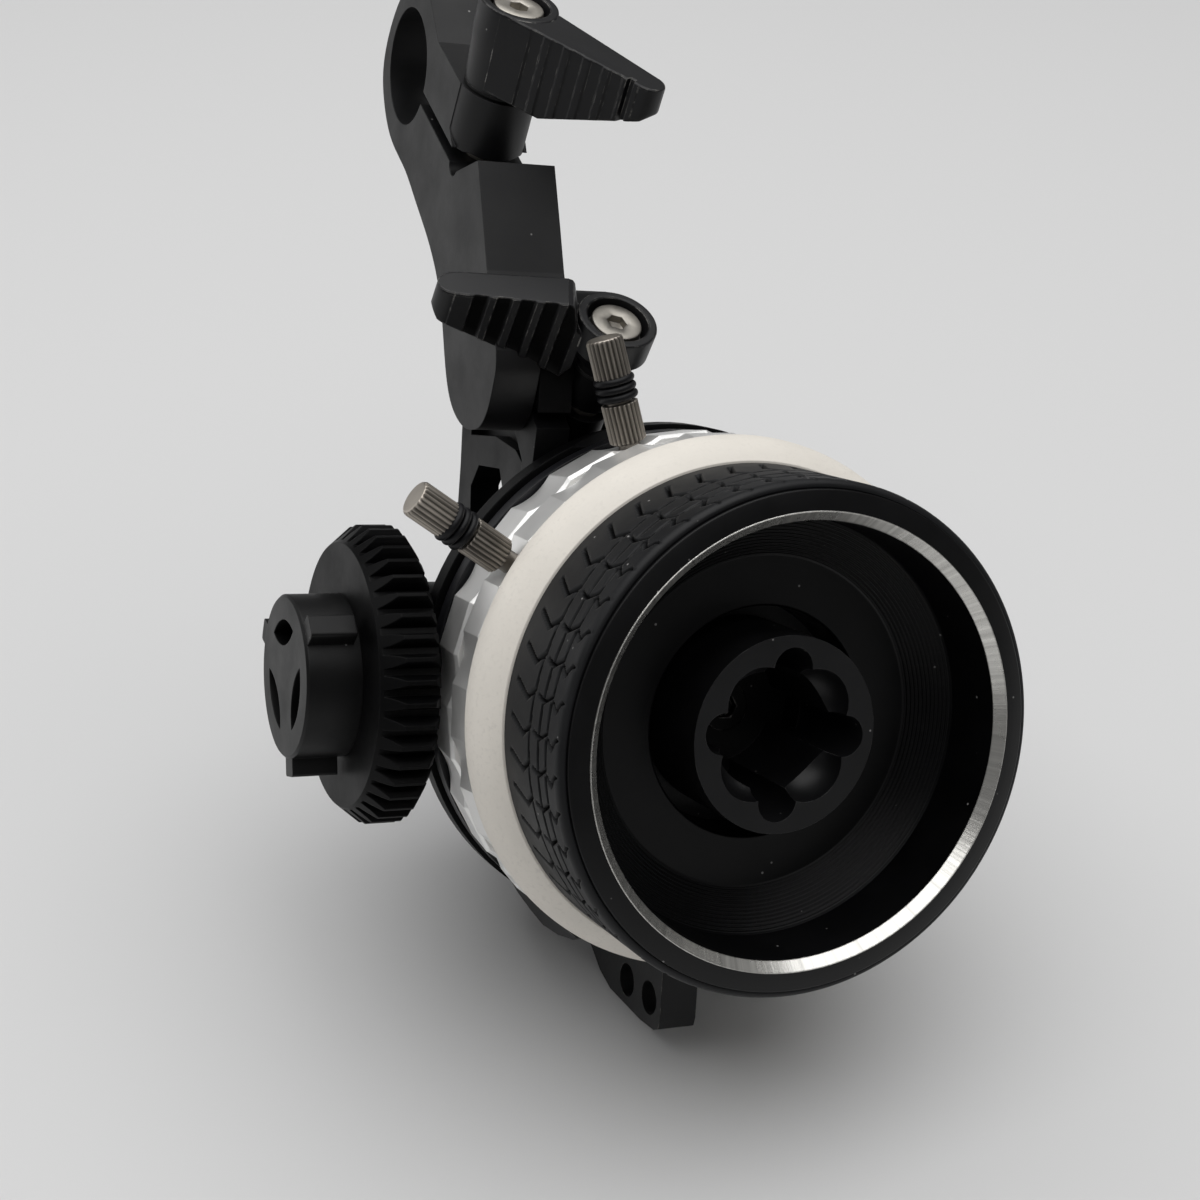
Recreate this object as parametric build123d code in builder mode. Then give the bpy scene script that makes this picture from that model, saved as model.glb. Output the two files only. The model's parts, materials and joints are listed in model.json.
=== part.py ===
from build123d import *
from math import acos, cos, pi, radians, sin, tan
import os

# A follow focus unit: a hand wheel turns a toothed drive gear through a pair of bevel gears, and the
# whole unit hangs from a 15 mm rod on a swinging arm.  Millimetres, +Z up, origin at the middle of
# the rod bore.  Lengths are read in three directions from the crossing of the two shafts:
# "front" runs along the wheel shaft toward the hand wheel, "side" runs along the gear shaft toward
# the drive gear, and "up" is +Z.

# ---------------------------------------------------------------- where things are
rod_radius = 7.5
rod_back = 32.0            # rod axis behind the shaft crossing
rod_up = 74.3              # rod axis above the shaft crossing
arm_thickness = 10.0
arm_outer = 23.0           # outer face of the arm, toward the drive gear
arm_inner = arm_outer - arm_thickness
arm_middle = (arm_outer + arm_inner) / 2

cross_x = arm_middle
cross_y = -rod_back
cross_z = -rod_up

slide = 0.04               # radial clearance of a shaft that turns
seat_gap = 0.3             # space between faces of pieces that move past each other


def wheel_plane(front, side=0.0, up=0.0):
    return Plane(origin=(cross_x - side, cross_y - front, cross_z + up), x_dir=(1, 0, 0), z_dir=(0, -1, 0))


def side_plane(side):
    return Plane(origin=(cross_x - side, cross_y, cross_z), x_dir=(0, -1, 0), z_dir=(-1, 0, 0))


def point(side, front, up):
    return Vector(cross_x - side, cross_y - front, cross_z + up)


wheel_axis = Axis((cross_x, cross_y, cross_z), (0, -1, 0))
gear_axis = Axis((cross_x, cross_y, cross_z), (-1, 0, 0))
wheel_section = Plane(origin=(cross_x, cross_y, cross_z), x_dir=(1, 0, 0), z_dir=(0, 0, -1))
gear_section = Plane(origin=(cross_x, cross_y, cross_z), x_dir=(0, 0, 1), z_dir=(0, -1, 0))


def turned(section, axis, corners, mode=Mode.ADD):
    with BuildSketch(section) as profile:
        with BuildLine():
            Polyline(*corners, close=True)
        make_face()
    revolve(profile.sketch, axis=axis, mode=mode)


def tube(section, axis, inner, outer, low, high, mode=Mode.ADD):
    turned(section, axis, [(inner, low), (outer, low), (outer, high), (inner, high)], mode)


# ---------------------------------------------------------------- hand wheel
wheel_front = 44.3         # front edge of the polished chamfer
grip_radius = 29.1         # outside of the rubber grip
shaft_radius = 4.0
grip_thickness = 2.5
grip_seat_radius = grip_radius - grip_thickness
polish_outer = grip_seat_radius - 0.87     # polished chamfer of the cup mouth
polish_inner = polish_outer - 1.08
polish_depth = 1.15
ridge_radius = grip_seat_radius + 1.5      # smooth metal edge in front of the grip
ridge_drop = 0.41
rim_length = 2.0
grip_back = 16.2           # back of the grip, behind the wheel front
cup_wall_radius = grip_seat_radius - 2.3
cup_depth = 9.0
floor_radius = cup_wall_radius - 5.1       # where the grooved cone meets the flat floor
floor_depth = 11.8
socket_radius = 11.3
well_radius = socket_radius + 2.1
well_bottom_radius = well_radius - 0.2
well_depth = 18.0
spigot_radius = grip_seat_radius - 6.6     # carries the marking disk
spigot_end = 21.8
socket_fit_radius = socket_radius - 2.3

with BuildPart() as handwheel_dish:
    turned(wheel_section, wheel_axis, [
        (polish_inner, wheel_front - polish_depth),
        (polish_outer, wheel_front),
        (ridge_radius, wheel_front - ridge_drop),
        (ridge_radius, wheel_front - rim_length),
        (grip_seat_radius, wheel_front - rim_length),
        (grip_seat_radius, wheel_front - grip_back),
        (spigot_radius, wheel_front - grip_back),
        (spigot_radius, wheel_front - spigot_end),
        (socket_fit_radius, wheel_front - spigot_end),
        (socket_fit_radius, wheel_front - well_depth),
        (well_bottom_radius, wheel_front - well_depth),
        (well_radius, wheel_front - floor_depth),
        (floor_radius, wheel_front - floor_depth),
        (cup_wall_radius, wheel_front - cup_depth),
    ])

# ---------------------------------------------------------------- crank socket
socket_front = 5.1
socket_bottom = 21.5
socket_end = 23.5
socket_wall = 1.35         # thinnest wall outside a notch
socket_open_radius = socket_radius - 4.3
notch_radius = 2.4
notch_reach = socket_radius - socket_wall - notch_radius
pocket_radius = 4.3        # spherical pockets between the notches
pocket_reach = socket_radius - 2.3 - pocket_radius
socket_turn = 3.5          # the notches stand a little off the vertical
screw_head_radius = 2.9
screw_head_height = 1.8
screw_shank_radius = 1.5
screw_shank_length = 8.0

with BuildPart() as crank_socket:
    tube(wheel_section, wheel_axis, 0, socket_radius, wheel_front - well_depth, wheel_front - socket_front)
    tube(wheel_section, wheel_axis, 0, socket_fit_radius, wheel_front - socket_end, wheel_front - well_depth)
    with BuildSketch(wheel_plane(wheel_front - socket_bottom)):
        Circle(socket_open_radius)
        with PolarLocations(notch_reach, 4, start_angle=-socket_turn):
            Circle(notch_radius)
    extrude(amount=socket_bottom - socket_front, mode=Mode.SUBTRACT)
    with Locations(wheel_plane(wheel_front - socket_front)):
        with PolarLocations(pocket_reach, 4, start_angle=45 - socket_turn):
            Sphere(pocket_radius, mode=Mode.SUBTRACT)
    tube(wheel_section, wheel_axis, 0, screw_shank_radius, wheel_front - socket_end,
         wheel_front - socket_bottom, Mode.SUBTRACT)

hex_flat_radius = 1.45     # circumscribed radius of the small hexagon recess
hex_depth = 1.0
with BuildPart() as crank_socket_screw:
    tube(wheel_section, wheel_axis, 0, screw_head_radius, wheel_front - socket_bottom,
         wheel_front - socket_bottom + screw_head_height)
    tube(wheel_section, wheel_axis, 0, screw_shank_radius, wheel_front - socket_bottom - screw_shank_length,
         wheel_front - socket_bottom)
    with BuildSketch(wheel_plane(wheel_front - socket_bottom + screw_head_height)):
        RegularPolygon(hex_flat_radius, 6)
    extrude(amount=-hex_depth, mode=Mode.SUBTRACT)

# ---------------------------------------------------------------- grip and marking disk
grip_front = 0.9           # the rounded shoulder of the grip laps over the metal edge
grip_shoulder = 0.6
with BuildPart() as rubber_grip:
    turned(wheel_section, wheel_axis, [
        (grip_seat_radius, wheel_front - grip_back),
        (grip_radius, wheel_front - grip_back),
        (grip_radius, wheel_front - grip_front - 1.5 * grip_shoulder),
        (grip_radius - grip_shoulder / 3, wheel_front - grip_front - grip_shoulder / 2),
        (grip_radius - grip_shoulder, wheel_front - grip_front),
        (ridge_radius, wheel_front - grip_front),
        (ridge_radius, wheel_front - rim_length),
        (grip_seat_radius, wheel_front - rim_length),
    ])

disk_radius = grip_radius + 2.7
disk_front_radius = grip_radius + 0.2
disk_front = grip_back + 0.15
disk_back = 21.7
disk_widest = 21.3
disk_swell_radius = disk_radius - 0.75     # the curved outer face passes through this point
disk_swell_depth = 18.7
disk_edge = 0.25
with BuildPart() as marking_disk:
    with BuildSketch(wheel_section):
        with BuildLine():
            ThreePointArc((disk_front_radius, wheel_front - disk_front),
                          (disk_swell_radius, wheel_front - disk_swell_depth),
                          (disk_radius, wheel_front - disk_widest))
            Polyline((disk_radius, wheel_front - disk_widest),
                     (disk_radius - disk_edge, wheel_front - disk_back),
                     (spigot_radius + slide, wheel_front - disk_back),
                     (spigot_radius + slide, wheel_front - disk_front),
                     (disk_front_radius, wheel_front - disk_front))
        make_face()
    revolve(axis=wheel_axis)

keeper_radius = spigot_radius + 2.6
keeper_inner = spigot_radius - 4.0
keeper_thickness = 0.8
with BuildPart() as disk_keeper_ring:
    tube(wheel_section, wheel_axis, keeper_inner, keeper_radius,
         wheel_front - spigot_end - keeper_thickness, wheel_front - spigot_end)

# ---------------------------------------------------------------- stop rings on the boss
cup_room_radius = keeper_radius + 0.9      # the boss is hollow around the keeper
boss_wall = 3.5
boss_radius = cup_room_radius + boss_wall
ring_height = 4.65
crest_radius = boss_radius + ring_height   # largest radius of the stop rings
flange_radius = crest_radius - 0.25
flange_back = 40.6
flange_front = 38.0
neck_radius = boss_radius + 2.5
spacer_back = 36.9
spacer_front = 34.95
spacer_radius = crest_radius - 0.75
ring_rear_back = 34.2
ring_split = 27.2
ring_front_front = 22.95
ring_back_radius = crest_radius - 0.65
ring_front_radius = crest_radius - 0.45
scallop_count = 16
scallop_depth = 0.75
scallop_radius = 6.5
pin_rear_angle = 72.0      # around the wheel axis, from the drive gear side toward the top
pin_front_angle = 32.5
pin_rear_place = wheel_front - 29.75
pin_front_place = wheel_front - 24.75
pin_neck_radius = 1.3
pin_hole_bottom = boss_radius + 1.4


def radial_plane(angle, place, distance):
    x = -cos(radians(angle))
    z = sin(radians(angle))
    start = point(0, place, 0) + Vector(x * distance, 0, z * distance)
    return Plane(origin=start, x_dir=(0, -1, 0), z_dir=(x, 0, z))


def scallops(angle, back, front):
    with BuildSketch(wheel_plane(back)) as profile:
        with PolarLocations(crest_radius - scallop_depth + scallop_radius, scallop_count,
                            start_angle=180 - angle):
            Circle(scallop_radius)
    extrude(profile.sketch, amount=front - back, mode=Mode.SUBTRACT)


with BuildPart() as stop_ring_rear:
    turned(wheel_section, wheel_axis, [
        (boss_radius + slide, wheel_front - ring_rear_back),
        (ring_back_radius, wheel_front - ring_rear_back),
        (crest_radius, wheel_front - ring_split - 0.5),
        (crest_radius - 0.3, wheel_front - ring_split),
        (boss_radius + slide, wheel_front - ring_split),
    ])
    scallops(pin_rear_angle, wheel_front - ring_rear_back, wheel_front - ring_split)
    with BuildSketch(radial_plane(pin_rear_angle, pin_rear_place, pin_hole_bottom)):
        Circle(pin_neck_radius + slide)
    extrude(amount=5, mode=Mode.SUBTRACT)

ring_break = 0.15
with BuildPart() as stop_ring_front:
    turned(wheel_section, wheel_axis, [
        (boss_radius + slide, wheel_front - ring_split + ring_break),
        (crest_radius - 0.1, wheel_front - ring_split + ring_break),
        (ring_front_radius, wheel_front - ring_front_front),
        (boss_radius + slide, wheel_front - ring_front_front),
    ])
    scallops(pin_front_angle, wheel_front - ring_split + ring_break, wheel_front - ring_front_front)
    with BuildSketch(radial_plane(pin_front_angle, pin_front_place, pin_hole_bottom)):
        Circle(pin_neck_radius + slide)
    extrude(amount=5, mode=Mode.SUBTRACT)

# ---------------------------------------------------------------- stop pins
pin_radius = 2.2
pin_core_radius = 1.5
pin_tip = pin_hole_bottom + 0.3
pin_rear_base = crest_radius + 0.1
pin_front_base = crest_radius + 0.65
pin_length = 12.6
pin_knurl = 4.8            # length of each knurled part
pin_chamfer = 0.35
o_ring_section = 0.46
o_ring_outer = 2.45
o_ring_pitch = 0.98


def stop_pin(angle, place, base):
    axis_plane = radial_plane(angle, place, 0)
    section = Plane(origin=axis_plane.origin, x_dir=axis_plane.x_dir, z_dir=-axis_plane.y_dir)
    axis = Axis(axis_plane.origin, axis_plane.z_dir)
    top = base + pin_length
    turned(section, axis, [
        (0, pin_tip), (pin_neck_radius, pin_tip), (pin_neck_radius, base),
        (pin_radius - pin_chamfer, base), (pin_radius, base + pin_chamfer), (pin_radius, base + pin_knurl),
        (pin_core_radius, base + pin_knurl), (pin_core_radius, top - pin_knurl),
        (pin_radius, top - pin_knurl), (pin_radius, top - pin_chamfer), (pin_radius - pin_chamfer, top),
        (0, top),
    ])


def pin_o_rings(angle, place, base):
    axis_plane = radial_plane(angle, place, 0)
    section = Plane(origin=axis_plane.origin, x_dir=axis_plane.x_dir, z_dir=-axis_plane.y_dir)
    axis = Axis(axis_plane.origin, axis_plane.z_dir)
    middle = base + pin_length / 2
    with BuildSketch(section) as profile:
        with Locations((o_ring_outer - o_ring_section, middle)):
            with GridLocations(1, o_ring_pitch, 1, 3):
                Circle(o_ring_section)
    revolve(profile.sketch, axis=axis)


with BuildPart() as stop_pin_rear:
    stop_pin(pin_rear_angle, pin_rear_place, pin_rear_base)

with BuildPart() as stop_pin_rear_o_rings:
    pin_o_rings(pin_rear_angle, pin_rear_place, pin_rear_base)

with BuildPart() as stop_pin_front:
    stop_pin(pin_front_angle, pin_front_place, pin_front_base)

with BuildPart() as stop_pin_front_o_rings:
    pin_o_rings(pin_front_angle, pin_front_place, pin_front_base)

with BuildPart() as ring_spacer:
    tube(wheel_section, wheel_axis, boss_radius, spacer_radius, wheel_front - spacer_back,
         wheel_front - spacer_front)

circlip_depth = 0.8
circlip_outer = boss_radius + 1.3
circlip_back = 22.85
circlip_front = 22.2
boss_front = 22.05
with BuildPart() as ring_circlip:
    tube(wheel_section, wheel_axis, boss_radius - circlip_depth, circlip_outer, wheel_front - circlip_back,
         wheel_front - circlip_front)
    with BuildSketch(wheel_plane(wheel_front - circlip_back)):
        with Locations((0, -boss_radius)):
            Rectangle(4, 6)
    extrude(amount=circlip_back - circlip_front, mode=Mode.SUBTRACT)

# ---------------------------------------------------------------- gearbox housing
box_half_height = 15.0
box_half_width = 15.0
box_back = -25.0
box_corner = 3.0
barrel_radius = 11.0       # round arm of the housing that carries the gear shaft
barrel_end = flange_radius
gear_bush_radius = 5.8
flange_place = wheel_front - flange_back
wheel_room_radius = 10.2
gear_room_radius = 9.4
bevel_room = 12.3          # the bevel rooms end here, the bushes start
cup_room_bottom = 20.3
bush_radius = 6.5
pivot_front = -4.6         # swing axis of the arm
pivot_up = 38.2
lug_inner = 5.2
lug_outer = arm_inner - seat_gap
lug_radius = 8.6
tongue_inner = 17.3        # the arm is thinner where it stands beside the lug
lug_face = tongue_inner - seat_gap
spindle_radius = 3.5
lock_lean = 39.0           # the lock screw leans forward from the vertical by this angle
lock_offset = 7.3          # from the swing axis to the lock screw
lock_side = 9.6
lock_seat = 5.7
lock_foot = -8.0
lock_slit = 1.5
lock_spot_radius = 5.3
lock_boss_radius = 3.1
screw_radius = 2.0
yoke_inner = 10.6
yoke_outer = 14.6
neck_foot = 9.0
post_top = 31.0            # the post of the yoke stands up behind the arm
post_front = -24.9
post_back = -28.5
cover_thickness = 3.5
cover_left = -14.5
cover_right = yoke_inner - seat_gap
cover_middle = (cover_left + cover_right) / 2
cover_screw_radius = 1.25
cover_screw_spread = 20.2
cover_screw_rise = 24.0
cover_screw_depth = 7.0
foot_screw_radius = 1.5
foot_screw_side = -8.0
foot_screw_middle = -11.0
foot_screw_pitch = 14.0
foot_screw_depth = 6.0

lock_up = (sin(radians(lock_lean)), cos(radians(lock_lean)))
lock_out = (cos(radians(lock_lean)), -sin(radians(lock_lean)))


def lug_point(out, along):
    return (pivot_front + out * lock_out[0] + along * lock_up[0],
            pivot_up + out * lock_out[1] + along * lock_up[1])


def tilted_plane(side, place, lean, swing):
    # local z leans forward from +Z by "lean"; local x points "swing" degrees from the drive gear
    # side toward the back
    direction = Vector(0, -sin(radians(lean)), cos(radians(lean)))
    toward_gear = Vector(-1, 0, 0) * cos(radians(swing))
    toward_back = Vector(0, cos(radians(lean)), sin(radians(lean))) * sin(radians(swing))
    return Plane(origin=point(side, place[0], place[1]), x_dir=toward_gear + toward_back, z_dir=direction)


lock_plane = tilted_plane(lock_side, lug_point(lock_offset, 0), lock_lean, 0)


def cover_holes(place, radius):
    with BuildSketch(wheel_plane(place)) as profile:
        with Locations((-cover_middle, 0)):
            with GridLocations(cover_screw_spread, cover_screw_rise, 2, 2):
                Circle(radius)
    return profile.sketch


def foot_holes(up, radius):
    with BuildSketch(Plane(origin=point(foot_screw_side, foot_screw_middle, up), x_dir=(0, -1, 0),
                           z_dir=(0, 0, 1))) as profile:
        with GridLocations(foot_screw_pitch, 1, 2, 1):
            Circle(radius)
    return profile.sketch


with BuildPart() as gearbox_housing:
    # box behind the flange, holding both bevel gears, with a round arm toward the drive gear
    with BuildSketch(wheel_plane(box_back)):
        RectangleRounded(2 * box_half_width, 2 * box_half_height, box_corner)
    extrude(amount=flange_place - box_back)
    with BuildSketch(side_plane(0)):
        Circle(barrel_radius)
        with Locations((flange_place + barrel_radius, 0)):
            Rectangle(2 * barrel_radius, 2 * barrel_radius, mode=Mode.SUBTRACT)
    extrude(amount=barrel_end)
    tube(wheel_section, wheel_axis, 0, flange_radius, flange_place, wheel_front - flange_front)
    tube(wheel_section, wheel_axis, 0, neck_radius, wheel_front - flange_front, wheel_front - spacer_back)
    tube(wheel_section, wheel_axis, 0, boss_radius, wheel_front - spacer_back, wheel_front - boss_front)
    # lug for the swing spindle, with its clamping ear, and the yoke behind it
    with BuildSketch(side_plane(lug_inner)):
        with Locations((pivot_front, pivot_up)):
            Circle(lug_radius)
        with BuildLine():
            Polyline((pivot_front - lug_radius, pivot_up), (-12.6, 27.0), (-12.6, box_half_height - 1),
                     (2.6, box_half_height - 1), (2.6, 24.0), lug_point(lock_offset, lock_foot + 1.5),
                     (pivot_front, pivot_up), close=True)
        make_face()
        with BuildLine():
            Polyline(lug_point(0, lock_seat), lug_point(lock_offset, lock_seat),
                     lug_point(lock_offset, lock_foot), lug_point(0, lock_foot), close=True)
        make_face()
    extrude(amount=lug_outer - lug_inner)
    with BuildSketch(side_plane(lug_outer)):
        with Locations((pivot_front, pivot_up)):
            Circle(lug_radius)
        with BuildLine():
            Polyline((pivot_front + lug_radius, pivot_up), (4.0, 31.0), (2.6, 24.0), (2.6, neck_foot),
                     (-1.5, neck_foot), (-0.5, 26.0), (-4.6, 31.0), (pivot_front, pivot_up), close=True)
        make_face()
    extrude(amount=lug_face - lug_outer)
    with BuildSketch(lock_plane.offset(lock_foot)):
        Circle(lock_boss_radius)
    extrude(amount=lock_seat - lock_foot)
    with BuildSketch(side_plane(yoke_inner)):
        with BuildLine():
            Polyline((-8.7, 26.4), (-15.9, 27.4), (-26.0, 26.6), (-28.4, 24.0), (-28.9, 16.7),
                     (-28.9, -box_half_height), (box_back + 1, -box_half_height), (box_back + 1, 16.0),
                     (-24.2, 20.0), (-21.5, 23.0), (-14.0, 23.4), (-12.2, 20.0), (-11.6, 13.0),
                     (-4.0, 13.0), (-5.1, 24.3), close=True)
        make_face()
    extrude(amount=yoke_outer - yoke_inner)
    with BuildSketch(side_plane(yoke_inner)):
        with BuildLine():
            Polyline((post_front, 22.0), (post_front, post_top), (post_back, post_top), (post_back, 22.0),
                     close=True)
        make_face()
    extrude(amount=yoke_outer - yoke_inner)
    with BuildSketch(side_plane(yoke_inner)):
        with BuildLine():
            Polyline((post_front, 24.5), (post_front, post_top), (-9.0, post_top), (-9.0, 24.5), close=True)
        make_face()
    extrude(amount=lug_outer - yoke_inner)
    # rooms and bores
    tube(wheel_section, wheel_axis, 0, wheel_room_radius, box_back, bevel_room, Mode.SUBTRACT)
    tube(wheel_section, wheel_axis, 0, bush_radius, bevel_room, cup_room_bottom, Mode.SUBTRACT)
    tube(wheel_section, wheel_axis, 0, cup_room_radius, cup_room_bottom, wheel_front - boss_front,
         Mode.SUBTRACT)
    tube(wheel_section, wheel_axis, boss_radius - circlip_depth, boss_radius + 1, wheel_front - circlip_back,
         wheel_front - circlip_front, Mode.SUBTRACT)
    tube(gear_section, gear_axis, 0, gear_room_radius, 0, bevel_room, Mode.SUBTRACT)
    tube(gear_section, gear_axis, 0, gear_bush_radius, bevel_room, barrel_end, Mode.SUBTRACT)
    with BuildSketch(side_plane(lug_inner)):
        with Locations((pivot_front, pivot_up)):
            Circle(spindle_radius + slide)
    extrude(amount=lug_face - lug_inner, mode=Mode.SUBTRACT)
    with BuildSketch(side_plane(lug_inner - 1)):
        with BuildLine():
            Polyline(lug_point(0, lock_slit / 2), lug_point(2 * lug_radius, lock_slit / 2),
                     lug_point(2 * lug_radius, -lock_slit / 2), lug_point(0, -lock_slit / 2), close=True)
        make_face()
    extrude(amount=lug_face - lug_inner + 2, mode=Mode.SUBTRACT)
    with BuildSketch(lock_plane.offset(lock_foot)):
        Circle(screw_radius + slide)
    extrude(amount=lock_seat - lock_foot, mode=Mode.SUBTRACT)
    with BuildSketch(lock_plane.offset(lock_seat)):
        Circle(lock_spot_radius)
    extrude(amount=2 * lug_radius, mode=Mode.SUBTRACT)
    # screw holes for the rear cover and the foot
    extrude(cover_holes(box_back, cover_screw_radius), amount=cover_screw_depth, mode=Mode.SUBTRACT)
    extrude(foot_holes(-box_half_height, foot_screw_radius), amount=foot_screw_depth, mode=Mode.SUBTRACT)

with BuildPart() as rear_cover:
    with BuildSketch(wheel_plane(box_back - cover_thickness)):
        with Locations((-cover_middle, 0)):
            RectangleRounded(cover_right - cover_left, 2 * box_half_height, 2)
    extrude(amount=cover_thickness)
    extrude(cover_holes(box_back - cover_thickness, cover_screw_radius), amount=cover_thickness,
            mode=Mode.SUBTRACT)

cover_head_radius = 2.1
cover_head_height = 1.5
with BuildPart() as rear_cover_screws:
    extrude(cover_holes(box_back - cover_thickness, cover_screw_radius),
            amount=cover_thickness + cover_screw_depth - 1)
    extrude(cover_holes(box_back - cover_thickness, cover_head_radius), amount=-cover_head_height)

# ---------------------------------------------------------------- foot bracket
foot_plate_inner = -0.85
foot_plate_outer = 4.0
cheek_inner = 8.6
cheek_outer = 12.3
foot_pad_thickness = 3.0
foot_pad_left = -12.0
foot_pad_bottom = -box_half_height - foot_pad_thickness
foot_front = 20.5
foot_back_edge = flange_place - seat_gap
foot_hole_radius = 2.1
foot_hole_middle = 13.95
foot_hole_pitch = 6.5
foot_hole_up = -38.0       # two accessory holes below the rings
ring_clearance = 0.95
foot_under_rings = -crest_radius - ring_clearance
cheek_under_rings = foot_under_rings + 1.6     # the cheek stands beside the lowest place of the rings
with BuildPart() as foot_bracket:
    with BuildSketch(Plane(origin=point(0, 0, -box_half_height), x_dir=(0, -1, 0), z_dir=(0, 0, -1))):
        with BuildLine():
            Polyline((-23.0, foot_pad_left), (foot_back_edge, foot_pad_left), (foot_back_edge, cheek_outer),
                     (-23.0, cheek_outer), close=True)
        make_face()
    extrude(amount=foot_pad_thickness)
    with BuildSketch(side_plane(foot_plate_inner)):
        with BuildLine():
            Polyline((-20.0, foot_pad_bottom + 1), (-14.0, -28.0), (-0.3, -37.5), (2.5, -39.5), (5.9, -40.8),
                     (15.1, -41.6), (19.0, -41.5), (20.1, -41.0), (foot_front, -39.8),
                     (foot_front, foot_under_rings - 0.8), (foot_front - 0.8, foot_under_rings),
                     (foot_back_edge, foot_under_rings), (foot_back_edge, foot_pad_bottom + 1), close=True)
        make_face()
    extrude(amount=foot_plate_outer - foot_plate_inner)
    with BuildSketch(side_plane(cheek_inner)):
        with BuildLine():
            Polyline((-16.0, foot_pad_bottom + 1), (-12.0, -29.5), (-6.3, -31.3), (-1.7, -32.2),
                     (2.5, -32.8), (7.4, -32.5), (12.0, -31.6), (13.0, cheek_under_rings),
                     (foot_back_edge, cheek_under_rings), (foot_back_edge, foot_pad_bottom + 1), close=True)
        make_face()
    extrude(amount=cheek_outer - cheek_inner)
    with BuildSketch(side_plane(foot_plate_inner)):
        with Locations((foot_hole_middle, foot_hole_up)):
            with GridLocations(foot_hole_pitch, 1, 2, 1):
                Circle(foot_hole_radius)
    extrude(amount=foot_plate_outer - foot_plate_inner, mode=Mode.SUBTRACT)
    extrude(foot_holes(foot_pad_bottom, foot_screw_radius), amount=foot_pad_thickness, mode=Mode.SUBTRACT)

foot_head_radius = 2.75
foot_head_height = 1.6
with BuildPart() as foot_screws:
    extrude(foot_holes(foot_pad_bottom, foot_screw_radius), amount=foot_pad_thickness + foot_screw_depth - 1)
    extrude(foot_holes(foot_pad_bottom, foot_head_radius), amount=-foot_head_height)

# ---------------------------------------------------------------- involute teeth
pressure_angle = 20.0


def involute(angle):
    return tan(angle) - angle


def half_tooth(radius, pitch_radius, count, thinning):
    # half the angle a tooth fills at this radius, in radians
    base = pitch_radius * cos(radians(pressure_angle))
    full = pi / (2 * count) - thinning / (2 * pitch_radius) + involute(radians(pressure_angle))
    return full - involute(acos(min(1.0, base / radius)))


def toothed_outline(count, module_size, root_radius, thinning, steps):
    pitch_radius = count * module_size / 2
    base = pitch_radius * cos(radians(pressure_angle))
    low = max(root_radius, base)
    tip = pitch_radius + module_size
    radii = [low + (tip - low) * i / steps for i in range(steps + 1)]
    if root_radius < base:
        radii.insert(0, root_radius)
    corners = []
    for tooth in range(count):
        middle = 2 * pi * tooth / count
        flank = [(r, half_tooth(max(r, base), pitch_radius, count, thinning)) for r in radii]
        for r, a in flank:
            corners.append((r * cos(middle - a), r * sin(middle - a)))
        for r, a in reversed(flank):
            corners.append((r * cos(middle + a), r * sin(middle + a)))
    return corners


# ---------------------------------------------------------------- bevel gears and shafts
bevel_teeth = 18
bevel_module = 0.9
bevel_face = 3.4           # length of a tooth along its cone
bevel_thinning = 0.16
bevel_hub_radius = 5.9
bevel_back = 11.9
bevel_pitch_radius = bevel_teeth * bevel_module / 2
bevel_root_drop = 1.2 * bevel_module
cone_length = bevel_pitch_radius * 2 ** 0.5
shaft_start = 4.4


def bevel_tooth_outline(scale):
    # one tooth across its length, drawn on the flat back cone
    count = bevel_teeth * 2 ** 0.5
    pitch = count * bevel_module / 2
    radii = [pitch - bevel_root_drop - 0.3, pitch - 0.3 * bevel_module, pitch, pitch + 0.5 * bevel_module,
             pitch + bevel_module]
    base = pitch * cos(radians(pressure_angle))
    flank = []
    for r in radii:
        a = half_tooth(max(r, base), pitch, count, bevel_thinning)
        flank.append((scale * r * sin(a), scale * (r * cos(a) - pitch)))
    return [(-x, y) for x, y in flank] + list(reversed(flank))


def bevel_gear(section, axis, tooth_plane, first_tooth):
    inner_scale = (cone_length - bevel_face) / cone_length
    root = bevel_root_drop / 2 ** 0.5
    outer_radius = bevel_pitch_radius - root
    outer_place = bevel_pitch_radius + root
    turned(section, axis, [
        (shaft_radius, outer_place * inner_scale), (outer_radius * inner_scale, outer_place * inner_scale),
        (outer_radius, outer_place), (bevel_hub_radius, bevel_back - 1.2), (bevel_hub_radius, bevel_back),
        (shaft_radius, bevel_back),
    ])
    with BuildSketch(tooth_plane(cone_length)) as outer_end:
        with BuildLine():
            Polyline(*bevel_tooth_outline(1.0), close=True)
        make_face()
    with BuildSketch(tooth_plane(cone_length - bevel_face)) as inner_end:
        with BuildLine():
            Polyline(*bevel_tooth_outline(inner_scale), close=True)
        make_face()
    tooth = loft([outer_end.sketch.face(), inner_end.sketch.face()], mode=Mode.PRIVATE)
    for number in range(bevel_teeth):
        add(tooth.rotate(axis, first_tooth + 360 * number / bevel_teeth))
    tube(section, axis, 0, shaft_radius, 0, bevel_back, Mode.SUBTRACT)


def wheel_tooth_plane(distance):
    # the tooth in the plane of both shafts, on the drive gear side of the wheel shaft
    reach = distance / 2 ** 0.5
    return Plane(origin=point(reach, reach, 0), x_dir=(0, 0, 1), z_dir=(-1, -1, 0))


def gear_tooth_plane(distance):
    reach = distance / 2 ** 0.5
    return Plane(origin=point(reach, reach, 0), x_dir=(0, 0, -1), z_dir=(-1, -1, 0))


with BuildPart() as wheel_bevel_gear:
    bevel_gear(wheel_section, wheel_axis, wheel_tooth_plane, 0)

with BuildPart() as shaft_bevel_gear:
    bevel_gear(gear_section, gear_axis, gear_tooth_plane, 180 / bevel_teeth)

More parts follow.
